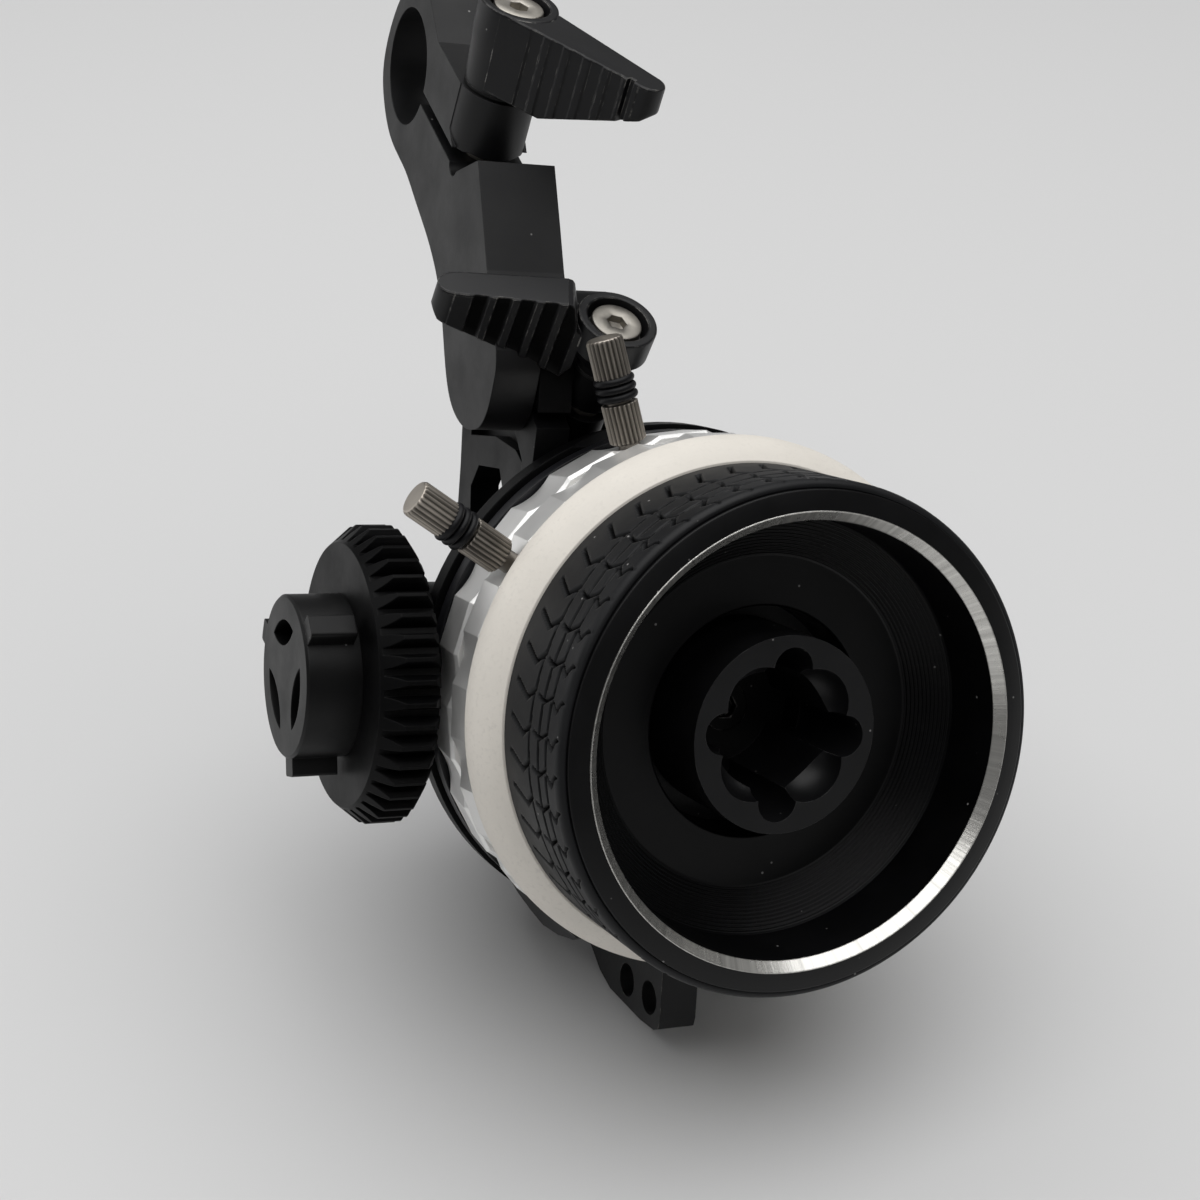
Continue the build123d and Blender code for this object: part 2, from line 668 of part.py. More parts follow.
with BuildPart() as wheel_shaft:
    tube(wheel_section, wheel_axis, 0, shaft_radius, shaft_start, wheel_front - socket_end)
    tube(wheel_section, wheel_axis, 0, screw_shank_radius, wheel_front - socket_bottom - screw_shank_length,
         wheel_front - socket_end, Mode.SUBTRACT)

with BuildPart() as wheel_shaft_bush:
    tube(wheel_section, wheel_axis, shaft_radius + slide, bush_radius, bevel_room, cup_room_bottom)

bush_length = 8.0
with BuildPart() as gear_shaft_bushes:
    for start in (bevel_room, barrel_end - bush_length):
        tube(gear_section, gear_axis, shaft_radius + slide, gear_bush_radius, start, start + bush_length)

# ---------------------------------------------------------------- drive gear
gear_teeth = 43
gear_module = 0.8
gear_tip_radius = (gear_teeth + 2) * gear_module / 2
gear_root_radius = gear_tip_radius - 2.25 * gear_module
gear_thinning = 0.1
gear_rear = barrel_end + 1.0
gear_front = gear_rear + 7.1
gear_rear_radius = gear_tip_radius - 1.4
gear_face_radius = gear_tip_radius - 2.1
gear_tip_rear = gear_rear + 1.0
gear_tip_front = gear_front - 2.5
gear_hub_radius = 6.0
gear_hub_end = barrel_end + seat_gap
knob_thread_radius = 3.0
knob_thread_depth = 5.0

with BuildPart() as drive_gear:
    with BuildSketch(side_plane(gear_rear)):
        with BuildLine():
            Polyline(*toothed_outline(gear_teeth, gear_module, gear_root_radius, gear_thinning, 3),
                     close=True)
        make_face()
    extrude(amount=gear_front - gear_rear)
    turned(gear_section, gear_axis, [
        (0, gear_rear), (gear_rear_radius, gear_rear), (gear_tip_radius, gear_tip_rear),
        (gear_tip_radius, gear_tip_front), (gear_face_radius, gear_front), (0, gear_front),
    ], Mode.INTERSECT)
    tube(gear_section, gear_axis, 0, gear_hub_radius, gear_hub_end, gear_rear)
    tube(gear_section, gear_axis, 0, shaft_radius, gear_hub_end, gear_front, Mode.SUBTRACT)

with BuildPart() as gear_shaft:
    tube(gear_section, gear_axis, 0, shaft_radius, shaft_start, gear_front)
    tube(gear_section, gear_axis, 0, knob_thread_radius, gear_front, gear_front + knob_thread_depth)

knob_radius = 9.8
knob_edge = 0.3
knob_end = gear_front + 6.7
knob_tab_reach = knob_radius + 2.1
knob_tab_width = 2.9
knob_tab_angle = 41.5      # first of three tabs, from the front toward the top
knob_pocket_depth = 2.6
knob_pocket_outer = 6.8    # a pocket is the lens where two circles cross
knob_pocket_inner = 3.7
knob_pocket_radius = 6.4

with BuildPart() as gear_knob:
    turned(gear_section, gear_axis, [
        (0, gear_front), (knob_radius, gear_front), (knob_radius, knob_end - knob_edge),
        (knob_radius - knob_edge, knob_end), (0, knob_end),
    ])
    with BuildSketch(side_plane(gear_front + 0.9)):
        with PolarLocations(knob_tab_reach - 2, 3, start_angle=knob_tab_angle):
            RectangleRounded(4, knob_tab_width, 0.4)
    extrude(amount=knob_end - gear_front - 1.2)
    tube(gear_section, gear_axis, 0, knob_thread_radius, gear_front, gear_front + knob_thread_depth,
         Mode.SUBTRACT)
    with BuildSketch(side_plane(knob_end)):
        with PolarLocations(knob_pocket_inner + knob_pocket_radius, 3, start_angle=knob_tab_angle + 60):
            Circle(knob_pocket_radius)
        Circle(knob_pocket_outer, mode=Mode.INTERSECT)
    extrude(amount=-knob_pocket_depth, mode=Mode.SUBTRACT)

# ---------------------------------------------------------------- swing arm
clamp_lean = 31.7          # the clamp screw leans forward from the vertical by this angle
clamp_cross = (-16.0, 63.8)    # where the clamp screw meets the slot, front and up
clamp_slot = 1.8
clamp_slot_reach = 16.0    # from the clamp screw back into the rod bore
clamp_relief = 3.8
clamp_relief_radius = 1.5
ear_radius = 4.9
ear_top = 8.6
clamp_thread_depth = 10.0
clamp_head = 19.8          # top of the lever above the slot
spindle_end = 21.0
tongue_gap = 1.2

clamp_up = (sin(radians(clamp_lean)), cos(radians(clamp_lean)))
clamp_out = (cos(radians(clamp_lean)), -sin(radians(clamp_lean)))


def clamp_point(out, along):
    return (clamp_cross[0] + out * clamp_out[0] + along * clamp_up[0],
            clamp_cross[1] + out * clamp_out[1] + along * clamp_up[1])


clamp_plane = tilted_plane(arm_middle, clamp_cross, clamp_lean, 0)

with BuildPart() as swing_arm:
    with BuildSketch(side_plane(arm_inner)):
        with BuildLine():
            left = Spline((-36.4, 83.1), (-40.2, 79.5), (-42.6, 73.7), (-41.8, 70.4), (-38.6, 65.6),
                          (-31.7, 60.9), (-27.1, 57.0), (-22.7, 53.2), (-15.8, 44.6), (-12.9, 36.5),
                          (-10.6, 32.4), (-6.7, 29.9), (-3.0, 29.4))
            lower = Spline((-3.0, 29.4), (0.2, 30.1), (3.0, 32.9), (4.4, 36.1), (4.6, 39.6),
                           tangents=[left % 1, (-0.2, 1)])
            Polyline((4.6, 39.6), (0.4, 48.8), (-1.7, 54.7), (-4.3, 61.7), (-12.2, 60.4),
                     (-14.9, 65.9), clamp_point(0, ear_top), clamp_point(-10.5, ear_top), (-24.5, 82.8),
                     (-32.0, 84.9), (-36.4, 83.1))
        make_face()
    extrude(amount=arm_thickness)
    with BuildSketch(clamp_plane):
        Circle(ear_radius)
    extrude(amount=ear_top)
    with BuildSketch(side_plane(arm_inner)):
        with Locations((-rod_back, rod_up)):
            Circle(rod_radius)
        with BuildLine():
            Polyline(clamp_point(-clamp_slot_reach, clamp_slot / 2),
                     clamp_point(ear_radius + 1, clamp_slot / 2),
                     clamp_point(ear_radius + 1, 0),
                     clamp_point(clamp_relief, -clamp_slot / 2),
                     clamp_point(-clamp_slot_reach, -clamp_slot / 2), close=True)
        make_face()
        with Locations(clamp_point(clamp_relief, -0.4)):
            Circle(clamp_relief_radius)
    extrude(amount=arm_thickness, mode=Mode.SUBTRACT)
    with BuildSketch(clamp_plane.offset(-clamp_thread_depth)):
        Circle(screw_radius + slide)
    extrude(amount=clamp_thread_depth + ear_top, mode=Mode.SUBTRACT)
    with BuildSketch(side_plane(arm_inner)):
        with Locations((pivot_front, pivot_up)):
            Circle(spindle_radius)
    extrude(amount=spindle_end - arm_inner, mode=Mode.SUBTRACT)
    with BuildSketch(side_plane(arm_inner)):
        with Locations((pivot_front, pivot_up)):
            Circle(lug_radius + tongue_gap)
    extrude(amount=tongue_inner - arm_inner, mode=Mode.SUBTRACT)

spindle_head_radius = 5.2
spindle_head_height = 1.6
spindle_head_gap = 0.2
pivot_axis = Axis(point(0, pivot_front, pivot_up), (-1, 0, 0))
pivot_section = Plane(origin=point(0, pivot_front, pivot_up), x_dir=(0, 0, 1), z_dir=(0, -1, 0))
with BuildPart() as swing_spindle:
    tube(pivot_section, pivot_axis, 0, spindle_radius, lug_inner - spindle_head_gap, spindle_end)
    tube(pivot_section, pivot_axis, 0, spindle_head_radius,
         lug_inner - spindle_head_gap - spindle_head_height, lug_inner - spindle_head_gap)

# ---------------------------------------------------------------- clamp levers
lever_length = 21.8
lever_hub_radius = 4.9
lever_hub_waist = 3.9      # the cup keeps its full radius this far down
lever_foot_length = 5.9    # the foot of the hub starts this far down
lever_cup_radius = 3.9
lever_cup_inner = 3.35
lever_cup_depth = 2.1
lever_root_half = 2.9      # half the thickness of the wing at the hub
lever_tip_half = 2.1
lever_tip_drop = 0.7       # the top of the wing falls this much toward its tip
lever_tip_depth = 4.3
lever_slope_start = 8.4
lever_root_reach = 4.9     # the deepest place of the wing, beside the hub
lever_groove_count = 5
lever_groove_pitch = 2.7
lever_groove_first = 5.85
lever_groove_width = 1.9
lever_groove_depth = 0.45
lever_thumb_notch = 19.6
lever_notch_width = 0.9
lever_notch_depth = 0.6
lever_screw_head_radius = 3.1
lever_screw_head_height = 1.7
lever_hex_radius = 1.75
washer_thickness = 0.5


def clamp_lever(top, height, foot_radius, rise, wing_depth, root_depth):
    side = Plane(origin=top.origin, x_dir=top.x_dir, z_dir=-top.y_dir)
    axis = Axis(top.origin, top.z_dir)
    turned(side, axis, [
        (0, 0), (lever_hub_radius, 0), (lever_hub_radius, -lever_hub_waist),
        (foot_radius + 0.3, -lever_foot_length), (foot_radius, -height), (0, -height),
    ])
    with BuildSketch(side) as profile:
        with BuildLine():
            Polyline((lever_hub_radius - 1, rise), (lever_length, -lever_tip_drop),
                     (lever_length, -lever_tip_drop - lever_tip_depth + 1.2),
                     (lever_length - 1.0, -lever_tip_drop - lever_tip_depth),
                     (lever_slope_start, -wing_depth), (lever_root_reach, -root_depth),
                     (lever_root_reach, -height + 0.4), (1.0, -height + 1), (1.0, -1.0),
                     (lever_hub_radius - 1, -1.0), close=True)
        make_face()
    with BuildSketch(top.offset(rise)) as plan:
        with BuildLine():
            Polyline((0, lever_root_half), (lever_length - lever_tip_half, lever_tip_half))
            ThreePointArc((lever_length - lever_tip_half, lever_tip_half), (lever_length, 0),
                          (lever_length - lever_tip_half, -lever_tip_half))
            Polyline((lever_length - lever_tip_half, -lever_tip_half), (0, -lever_root_half),
                     (0, lever_root_half))
        make_face()
    slab = extrude(profile.sketch, amount=lever_root_half, both=True, mode=Mode.PRIVATE)
    column = extrude(plan.sketch, amount=-2 * height, mode=Mode.PRIVATE)
    add(slab & column)
    with BuildSketch(side.offset(-lever_root_half)) as ribs:
        with Locations((lever_groove_first + lever_groove_pitch * (lever_groove_count - 1) / 2, 0)):
            with GridLocations(lever_groove_pitch, 1, lever_groove_count, 1):
                Rectangle(lever_groove_width, 4 * height)
    extrude(ribs.sketch, amount=lever_root_half - lever_tip_half + lever_groove_depth, mode=Mode.SUBTRACT)
    with BuildSketch(side.offset(lever_root_half)) as notch:
        with Locations((lever_thumb_notch, -lever_tip_drop - lever_tip_depth / 2 - lever_notch_width)):
            Rectangle(lever_notch_width, lever_tip_depth)
    extrude(notch.sketch, amount=-(lever_root_half - lever_tip_half + lever_notch_depth),
            mode=Mode.SUBTRACT)
    turned(side, axis, [
        (0, rise + 1), (lever_cup_radius, rise + 1), (lever_cup_radius, 0),
        (lever_cup_inner, -lever_cup_depth), (screw_radius, -lever_cup_depth),
        (screw_radius, -height - 1), (0, -height - 1),
    ], Mode.SUBTRACT)


def lever_screw(top, depth):
    side = Plane(origin=top.origin, x_dir=top.x_dir, z_dir=-top.y_dir)
    turned(side, Axis(top.origin, top.z_dir), [
        (0, -depth), (screw_radius, -depth), (screw_radius, -lever_cup_depth),
        (lever_screw_head_radius, -lever_cup_depth),
        (lever_screw_head_radius, -lever_cup_depth + lever_screw_head_height - 0.3),
        (lever_screw_head_radius - 0.3, -lever_cup_depth + lever_screw_head_height),
        (0, -lever_cup_depth + lever_screw_head_height),
    ])
    with BuildSketch(top.offset(-lever_cup_depth + lever_screw_head_height)) as recess:
        RegularPolygon(lever_hex_radius, 6)
    extrude(recess.sketch, amount=-1.3, mode=Mode.SUBTRACT)


def lever_washer(seat, radius):
    with BuildSketch(seat) as profile:
        Circle(radius)
        Circle(screw_radius + slide, mode=Mode.SUBTRACT)
    extrude(profile.sketch, amount=washer_thickness)


clamp_swing = 125.6        # wing direction of the clamp lever, from the gear side toward the front
clamp_top = tilted_plane(arm_middle, clamp_point(0, clamp_head), clamp_lean, -clamp_swing)
clamp_lever_height = clamp_head - ear_top - washer_thickness
clamp_foot_radius = 4.4
clamp_wing_depth = 10.5
clamp_root_depth = 10.9
with BuildPart() as clamp_lever_handle:
    clamp_lever(clamp_top, clamp_lever_height, clamp_foot_radius, 0, clamp_wing_depth,
                clamp_root_depth)

with BuildPart() as clamp_lever_screw:
    lever_screw(clamp_top, clamp_head + clamp_thread_depth - 1)

with BuildPart() as clamp_lever_washer:
    lever_washer(clamp_plane.offset(ear_top), clamp_foot_radius)

lock_swing = 16.6          # wing direction of the lock lever, from the gear side toward the back
lock_head = 13.35
lock_top = tilted_plane(lock_side, lug_point(lock_offset, lock_head), lock_lean, lock_swing)
lock_lever_height = lock_head - lock_seat - washer_thickness
lock_foot_radius = 3.2
lock_wing_rise = 2.6       # the wing stands above the hub of the lock lever
lock_wing_depth = 7.2
lock_root_depth = 8.6
arm_gap = 1.0
with BuildPart() as lock_lever_handle:
    clamp_lever(lock_top, lock_lever_height, lock_foot_radius, lock_wing_rise, lock_wing_depth,
                lock_root_depth)
    # the back of the wing follows the front of the arm
    with BuildSketch(side_plane(arm_inner - arm_gap)):
        with BuildLine():
            Polyline((4.6 + arm_gap, 28.0), (4.6 + arm_gap, 39.8), (0.4 + arm_gap, 49.0),
                     (-1.7 + arm_gap, 55.0), (-20.0, 55.0), (-20.0, 28.0), close=True)
        make_face()
    extrude(amount=arm_thickness + lever_length, mode=Mode.SUBTRACT)

with BuildPart() as lock_lever_screw:
    lever_screw(lock_top, lock_head - lock_foot - 1)

with BuildPart() as lock_lever_washer:
    lever_washer(lock_plane.offset(lock_seat), lock_foot_radius)

# ---------------------------------------------------------------- files
pieces = {
    "handwheel_dish": handwheel_dish,
    "crank_socket": crank_socket,
    "crank_socket_screw": crank_socket_screw,
    "rubber_grip": rubber_grip,
    "marking_disk": marking_disk,
    "disk_keeper_ring": disk_keeper_ring,
    "stop_ring_front": stop_ring_front,
    "stop_ring_rear": stop_ring_rear,
    "stop_pin_front": stop_pin_front,
    "stop_pin_rear": stop_pin_rear,
    "stop_pin_front_o_rings": stop_pin_front_o_rings,
    "stop_pin_rear_o_rings": stop_pin_rear_o_rings,
    "ring_spacer": ring_spacer,
    "ring_circlip": ring_circlip,
    "gearbox_housing": gearbox_housing,
    "rear_cover": rear_cover,
    "rear_cover_screws": rear_cover_screws,
    "foot_bracket": foot_bracket,
    "foot_screws": foot_screws,
    "wheel_bevel_gear": wheel_bevel_gear,
    "shaft_bevel_gear": shaft_bevel_gear,
    "wheel_shaft": wheel_shaft,
    "wheel_shaft_bush": wheel_shaft_bush,
    "gear_shaft": gear_shaft,
    "gear_shaft_bushes": gear_shaft_bushes,
    "drive_gear": drive_gear,
    "gear_knob": gear_knob,
    "swing_arm": swing_arm,
    "swing_spindle": swing_spindle,
    "clamp_lever_handle": clamp_lever_handle,
    "clamp_lever_screw": clamp_lever_screw,
    "clamp_lever_washer": clamp_lever_washer,
    "lock_lever_handle": lock_lever_handle,
    "lock_lever_screw": lock_lever_screw,
    "lock_lever_washer": lock_lever_washer,
}
os.makedirs("parts", exist_ok=True)
for name, piece in pieces.items():
    piece.part.label = name
    export_step(piece.part, f"parts/{name}.step")
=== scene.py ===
# %% [markdown]
# # A follow focus unit
# A camera assistant turns the hand wheel. A pair of bevel gears in the housing passes the turn on
# to a toothed drive gear, and that gear turns the lens. The unit's solids are loaded first: they
# already have their places, sizes and joints. This lesson adds what a plain solid lacks, such as
# the tread of the rubber, the knurling of the pins and the finish of every surface.

import json
from math import atan2, cos, degrees, hypot, pi, radians, sin

import bmesh
import bpy
from mathutils import Matrix, Vector


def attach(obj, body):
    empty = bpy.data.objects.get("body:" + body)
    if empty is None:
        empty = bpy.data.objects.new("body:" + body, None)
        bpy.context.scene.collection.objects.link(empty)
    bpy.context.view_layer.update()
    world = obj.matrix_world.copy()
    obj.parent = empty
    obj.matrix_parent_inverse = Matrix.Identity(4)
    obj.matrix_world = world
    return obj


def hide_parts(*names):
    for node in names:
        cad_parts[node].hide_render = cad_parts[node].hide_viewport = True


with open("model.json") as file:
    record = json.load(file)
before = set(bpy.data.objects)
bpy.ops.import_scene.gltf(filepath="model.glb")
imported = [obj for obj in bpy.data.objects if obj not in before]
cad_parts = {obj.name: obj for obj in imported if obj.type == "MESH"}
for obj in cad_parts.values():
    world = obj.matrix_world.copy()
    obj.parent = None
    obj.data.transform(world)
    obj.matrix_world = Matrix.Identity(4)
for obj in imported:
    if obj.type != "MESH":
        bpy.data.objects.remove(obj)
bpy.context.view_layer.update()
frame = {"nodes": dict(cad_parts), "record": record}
nodes = frame["nodes"]

# %% [markdown]
# ## Where things are
# The wheel shaft and the gear shaft cross in one point. Three directions are enough to place every
# piece: "side" runs along the gear shaft toward the drive gear, "front" runs along the wheel shaft
# toward the hand wheel, and "up" is +Z. Lengths are written in millimetres, as on a workshop
# drawing, and one helper turns them into the scene's metres.

# %% Directions
MM = 0.001
CROSSING = Vector((18.0, -32.0, -74.3))
WHEEL_FRONT = 44.3  # from the crossing to the front edge of the hand wheel


def place(side, front, up):
    return (CROSSING + Vector((-side, -front, up))) * MM


print("the shafts cross at", place(0, 0, 0))

# %% [markdown]
# ## From a bmesh to a finished piece
# Every piece ends in the same way. Its faces are turned outward, it is shaded smooth but keeps its sharp edges,
# and it is tied to a body, so that it moves with the right joint. A modifier could find the sharp edges as well;
# marking them in the mesh keeps them with the mesh, also when it is exported.

# %% Finish a mesh
def finish_mesh(name, bm, body, sharp, stands_for=()):
    bmesh.ops.recalc_face_normals(bm, faces=bm.faces)
    mesh = bpy.data.meshes.new(name)
    bm.to_mesh(mesh)
    bm.free()
    mesh.shade_smooth()
    mesh.set_sharp_from_angle(angle=radians(sharp))
    obj = bpy.data.objects.new(name, mesh)
    bpy.context.scene.collection.objects.link(obj)
    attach(obj, body)
    if stands_for:
        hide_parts(*stands_for)
    print(name, len(mesh.vertices), "vertices", len(mesh.polygons), "faces")


# %% [markdown]
# ## Turned pieces
# Most of this unit comes off a lathe. A turned piece could be a stack of cylinders, but one closed
# outline that is spun around the shaft gives every chamfer and step at once. An outline point is a
# radius and a depth behind the wheel's front edge. Two more helpers read a vertex back in the same
# terms and move it toward the shaft, for pieces that aren't perfectly round.

# %% Lathe helpers
SAME_POINT = 1e-7
LATHE_STEPS = 256


def spin_profile(bm, points, steps, centre, axis):
    verts = [bm.verts.new(p) for p in points]
    edges = [bm.edges.new((a, b)) for a, b in zip(verts, verts[1:] + verts[:1])]
    bmesh.ops.spin(bm, geom=verts + edges, cent=centre, axis=axis, angle=2 * pi, steps=steps,
                   use_merge=True, use_duplicate=False)
    bmesh.ops.remove_doubles(bm, verts=bm.verts, dist=SAME_POINT)


def wheel_lathe(profile, steps=LATHE_STEPS, start=0.0):
    # start is the angle of the first outline, from the gear side toward the top
    side, up = cos(radians(start)), sin(radians(start))
    bm = bmesh.new()
    points = [place(r * side, WHEEL_FRONT - d, r * up) for r, d in profile]
    spin_profile(bm, points, steps, place(0, 0, 0), (0, 1, 0))
    return bm


def around_wheel(co):
    # radius, angle in degrees and depth of a vertex, seen from the front of the wheel
    local = (place(0, WHEEL_FRONT, 0) - co) / MM
    return hypot(local.x, local.z), degrees(atan2(-local.z, local.x)), -local.y


def move_radially(v, factor):
    centre = place(0, 0, 0)
    v.co.x = centre.x + (v.co.x - centre.x) * factor
    v.co.z = centre.z + (v.co.z - centre.z) * factor


# %% [markdown]
# ## The hand wheel
# The wheel is a dish turned from aluminium, with a band of fine grooves on its cone. The grooves
# could be a bump texture, but they would then vanish at the outline, so each of them is a small
# step out and back in the profile. The bright chamfer at the mouth is cut after the black
# anodising, so it is a thin ring of its own with its own finish.

# %% Turned dish with its fine grooves
GRIP_SEAT = 26.6
LIP_BACK = 2.0
GRIP_BACK = 16.2
DISK_SEAT = 20.0
GROOVES = 12
GROOVE_DEPTH = 0.16
GROOVE_STEPS = ((0.15, 0), (0.3, 1), (0.7, 1), (0.85, 0))  # share of the width, share of the depth
CONE_OUTER = (24.25, 9.1)
CONE_INNER = (19.4, 11.7)


def grooved_cone():
    # walk down the cone from its outer edge and cut one small groove after another
    points = []
    for k in range(GROOVES):
        for part, drop in GROOVE_STEPS:
            t = (k + part) / GROOVES
            points.append((CONE_OUTER[0] + (CONE_INNER[0] - CONE_OUTER[0]) * t,
                           CONE_OUTER[1] + (CONE_INNER[1] - CONE_OUTER[1]) * t + drop * GROOVE_DEPTH))
    return points


dish_profile = [
    (24.65, 1.2), (25.73, 0.12),  # under the polished chamfer
    (27.85, 0.41), (28.05, 0.5), (28.1, 0.65), (28.1, LIP_BACK),  # rounded lip
    (GRIP_SEAT, LIP_BACK), (GRIP_SEAT, GRIP_BACK), (DISK_SEAT, GRIP_BACK), (DISK_SEAT, 21.8),
    (9.0, 21.8), (9.0, 18.0), (13.2, 18.0), (13.38, 12.1), (13.6, 11.8),  # cup for the crank socket
    (19.2, 11.8), *reversed(grooved_cone()), (24.3, 9.0),
]
finish_mesh("dish_turned", wheel_lathe(dish_profile), "hand_wheel", 25, ["handwheel_dish"])

chamfer_profile = [(24.62, 1.15), (25.7, 0.0), (25.78, 0.02), (25.8, 0.14), (24.7, 1.25)]
finish_mesh("polished_chamfer", wheel_lathe(chamfer_profile), "hand_wheel", 25)

# %% [markdown]
# ## The rubber grip
# The grip is moulded rubber with a tyre-like tread: 46 equal repeats of V-shaped slits joined by
# thin lines. Cutting hundreds of slits with booleans would be slow and fragile. Instead, one repeat
# is written as a few line segments, as they would be drawn on the mould.

# %% One repeat of the tread
TREAD_REPEATS = 46
TREAD_RADIUS = 29.08
TREAD_PITCH = 2 * pi * TREAD_RADIUS / TREAD_REPEATS
SLIT_WALL = 0.12  # width of a slit's sloping wall
TREAD_SLITS = [  # both ends as a depth and a share of the pitch, and the slit's width
    ((14.15, 0.40), (10.75, 0.06), 0.30), ((10.75, 0.06), (8.9, 0.40), 0.34),
    ((9.1, 1.22), (8.95, 0.42), 0.22), ((7.9, 0.28), (6.25, 0.17), 0.22),
    ((6.25, 0.17), (4.3, 0.43), 0.22), ((6.45, 1.17), (6.35, 0.17), 0.22),
    ((4.35, 1.22), (4.25, 0.45), 0.2), ((4.0, 0.28), (2.9, 0.08), 0.24),
    ((2.9, 0.08), (1.9, 0.38), 0.22),
]


def segment_distance(x, y, a, b):
    ax, ay, bx, by = a[0], a[1] * TREAD_PITCH, b[0], b[1] * TREAD_PITCH
    t = ((x - ax) * (bx - ax) + (y - ay) * (by - ay)) / ((bx - ax) ** 2 + (by - ay) ** 2)
    t = min(1.0, max(0.0, t))
    return hypot(x - ax - t * (bx - ax), y - ay - t * (by - ay))


def slit_depth(depth, turn):
    # 0 on the blocks, 1 at the bottom of a slit; a repeat also sees its two neighbours
    deepest = 0.0
    for a, b, width in TREAD_SLITS:
        for wrap in (-1, 0, 1):
            d = segment_distance(depth, (turn + wrap) * TREAD_PITCH, a, b)
            deepest = max(deepest, min(1.0, max(0.0, (width / 2 + SLIT_WALL - d) / SLIT_WALL)))
    return deepest


print("tread pitch in mm", round(TREAD_PITCH, 2))

# %% [markdown]
# ## Pressing the tread
# The band is spun with many small faces, and each vertex is pressed in by its distance from the nearest segment.
# The same value is kept on the vertex as "slit", so that the material can paint shade into the bottom of a slit.
# Repeats are equal, so each depth is worked out once and looked up after that.

# %% Tread band
TREAD_ROWS = 84
TREAD_STEPS = 22
TREAD_DEPTH = 0.6
TREAD_FRONT, TREAD_BACK = 1.75, 16.15
ON_TREAD = 0.01

tread_outline = [(GRIP_SEAT, GRIP_BACK)]
tread_outline += [(TREAD_RADIUS, TREAD_BACK - (TREAD_BACK - TREAD_FRONT) * i / TREAD_ROWS)
                  for i in range(TREAD_ROWS + 1)]
tread_outline += [(28.98, 1.35), (28.75, 1.0), (28.4, 0.86), (28.12, 0.95)]  # rounded front edge
tread_outline += [(28.12, LIP_BACK), (GRIP_SEAT, LIP_BACK)]
grip_bm = wheel_lathe(tread_outline, TREAD_REPEATS * TREAD_STEPS)
slit_layer = grip_bm.verts.layers.float.new("slit")
known_depths = {}
for v in grip_bm.verts:
    radius, angle, depth = around_wheel(v.co)
    if radius > TREAD_RADIUS - ON_TREAD:
        step = round(angle / 360 * TREAD_REPEATS * TREAD_STEPS) % TREAD_STEPS
        key = (round(depth, 3), step)
        if key not in known_depths:
            known_depths[key] = slit_depth(depth, step / TREAD_STEPS)
        # how far the vertex lies in a slit, also used for painted shade
        v[slit_layer] = known_depths[key]
        move_radially(v, 1 - TREAD_DEPTH * known_depths[key] / radius)
finish_mesh("tread_band", grip_bm, "hand_wheel", 60, ["rubber_grip"])

# %% [markdown]
# ## The marking disk
# The white disk is a plastic ring to write focus marks on. Its outer face swells softly toward the
# back. A subdivided cylinder could give that curve, but twelve short steps of one formula in the
# outline are easier to steer.

# %% White disk
SWELL_STEPS = 12
SWELL_POWER = 2.1  # higher swells sooner
DISK_FRONT = 16.35
DISK_SMALL = 29.3
DISK_SWELL = 2.5
SWELL_LENGTH = 4.95

disk_profile = [(DISK_SMALL, DISK_FRONT)]
for i in range(1, SWELL_STEPS + 1):
    t = i / SWELL_STEPS
    disk_profile.append((DISK_SMALL + DISK_SWELL * (1 - (1 - t) ** SWELL_POWER), DISK_FRONT + SWELL_LENGTH * t))
disk_profile += [(31.78, 21.5), (31.6, 21.68), (20.04, 21.7), (20.04, DISK_FRONT)]
finish_mesh("disk_turned", wheel_lathe(disk_profile), "white_disk", 40, ["marking_disk"])

# %% [markdown]
# ## The stop rings
# Two aluminium rings stand behind the disk. Around each of them 16 shallow scallops alternate with
# 16 flat facets, so that fingers can turn it. On the real ring a cutter makes them after turning,
# and this follows it: the ring is spun with its steps lined up with the facet borders, and then
# each vertex is moved toward the shaft. Lined-up steps keep the borders sharp.

# %% Faceted stop rings
FACETS = 16
FACET_STEPS = 24
FACET_HALF = 360 / FACETS / 4
SCALLOP_DEPTH = 0.72
OUTER_FACE_FROM = 30.0
ON_BORDER = 1e-4
RING_BORE = 27.04


def faceted_ring(name, body, profile, angle, stands_for):
    bm = wheel_lathe(profile, FACETS * FACET_STEPS, angle)
    period = 360 / FACETS
    for v in bm.verts:
        radius, turn, _ = around_wheel(v.co)
        if radius < OUTER_FACE_FROM:
            continue
        off = (turn - angle + period / 2) % period - period / 2
        if abs(off) <= FACET_HALF + ON_BORDER:
            move_radially(v, 1 - SCALLOP_DEPTH * (1 - (off / FACET_HALF) ** 2) / radius)
        else:
            flat = abs(off) - period / 2
            move_radially(v, cos(radians(FACET_HALF)) / cos(radians(flat)))
    finish_mesh(name, bm, body, 8, [stands_for])


FRONT_PIN_ANGLE = 32.5
REAR_PIN_ANGLE = 72.0
rear_ring_profile = [(RING_BORE, 34.2), (30.9, 34.2), (31.05, 34.05), (31.65, 27.75), (31.3, 27.25),
                     (RING_BORE, 27.2)]
front_ring_profile = [(RING_BORE, 27.05), (31.35, 27.02), (31.55, 26.85), (31.2, 23.1), (31.05, 22.95),
                      (RING_BORE, 22.95)]
faceted_ring("faceted_ring_rear", "rear_ring", rear_ring_profile, REAR_PIN_ANGLE, "stop_ring_rear")
faceted_ring("faceted_ring_front", "front_ring", front_ring_profile, FRONT_PIN_ANGLE, "stop_ring_front")
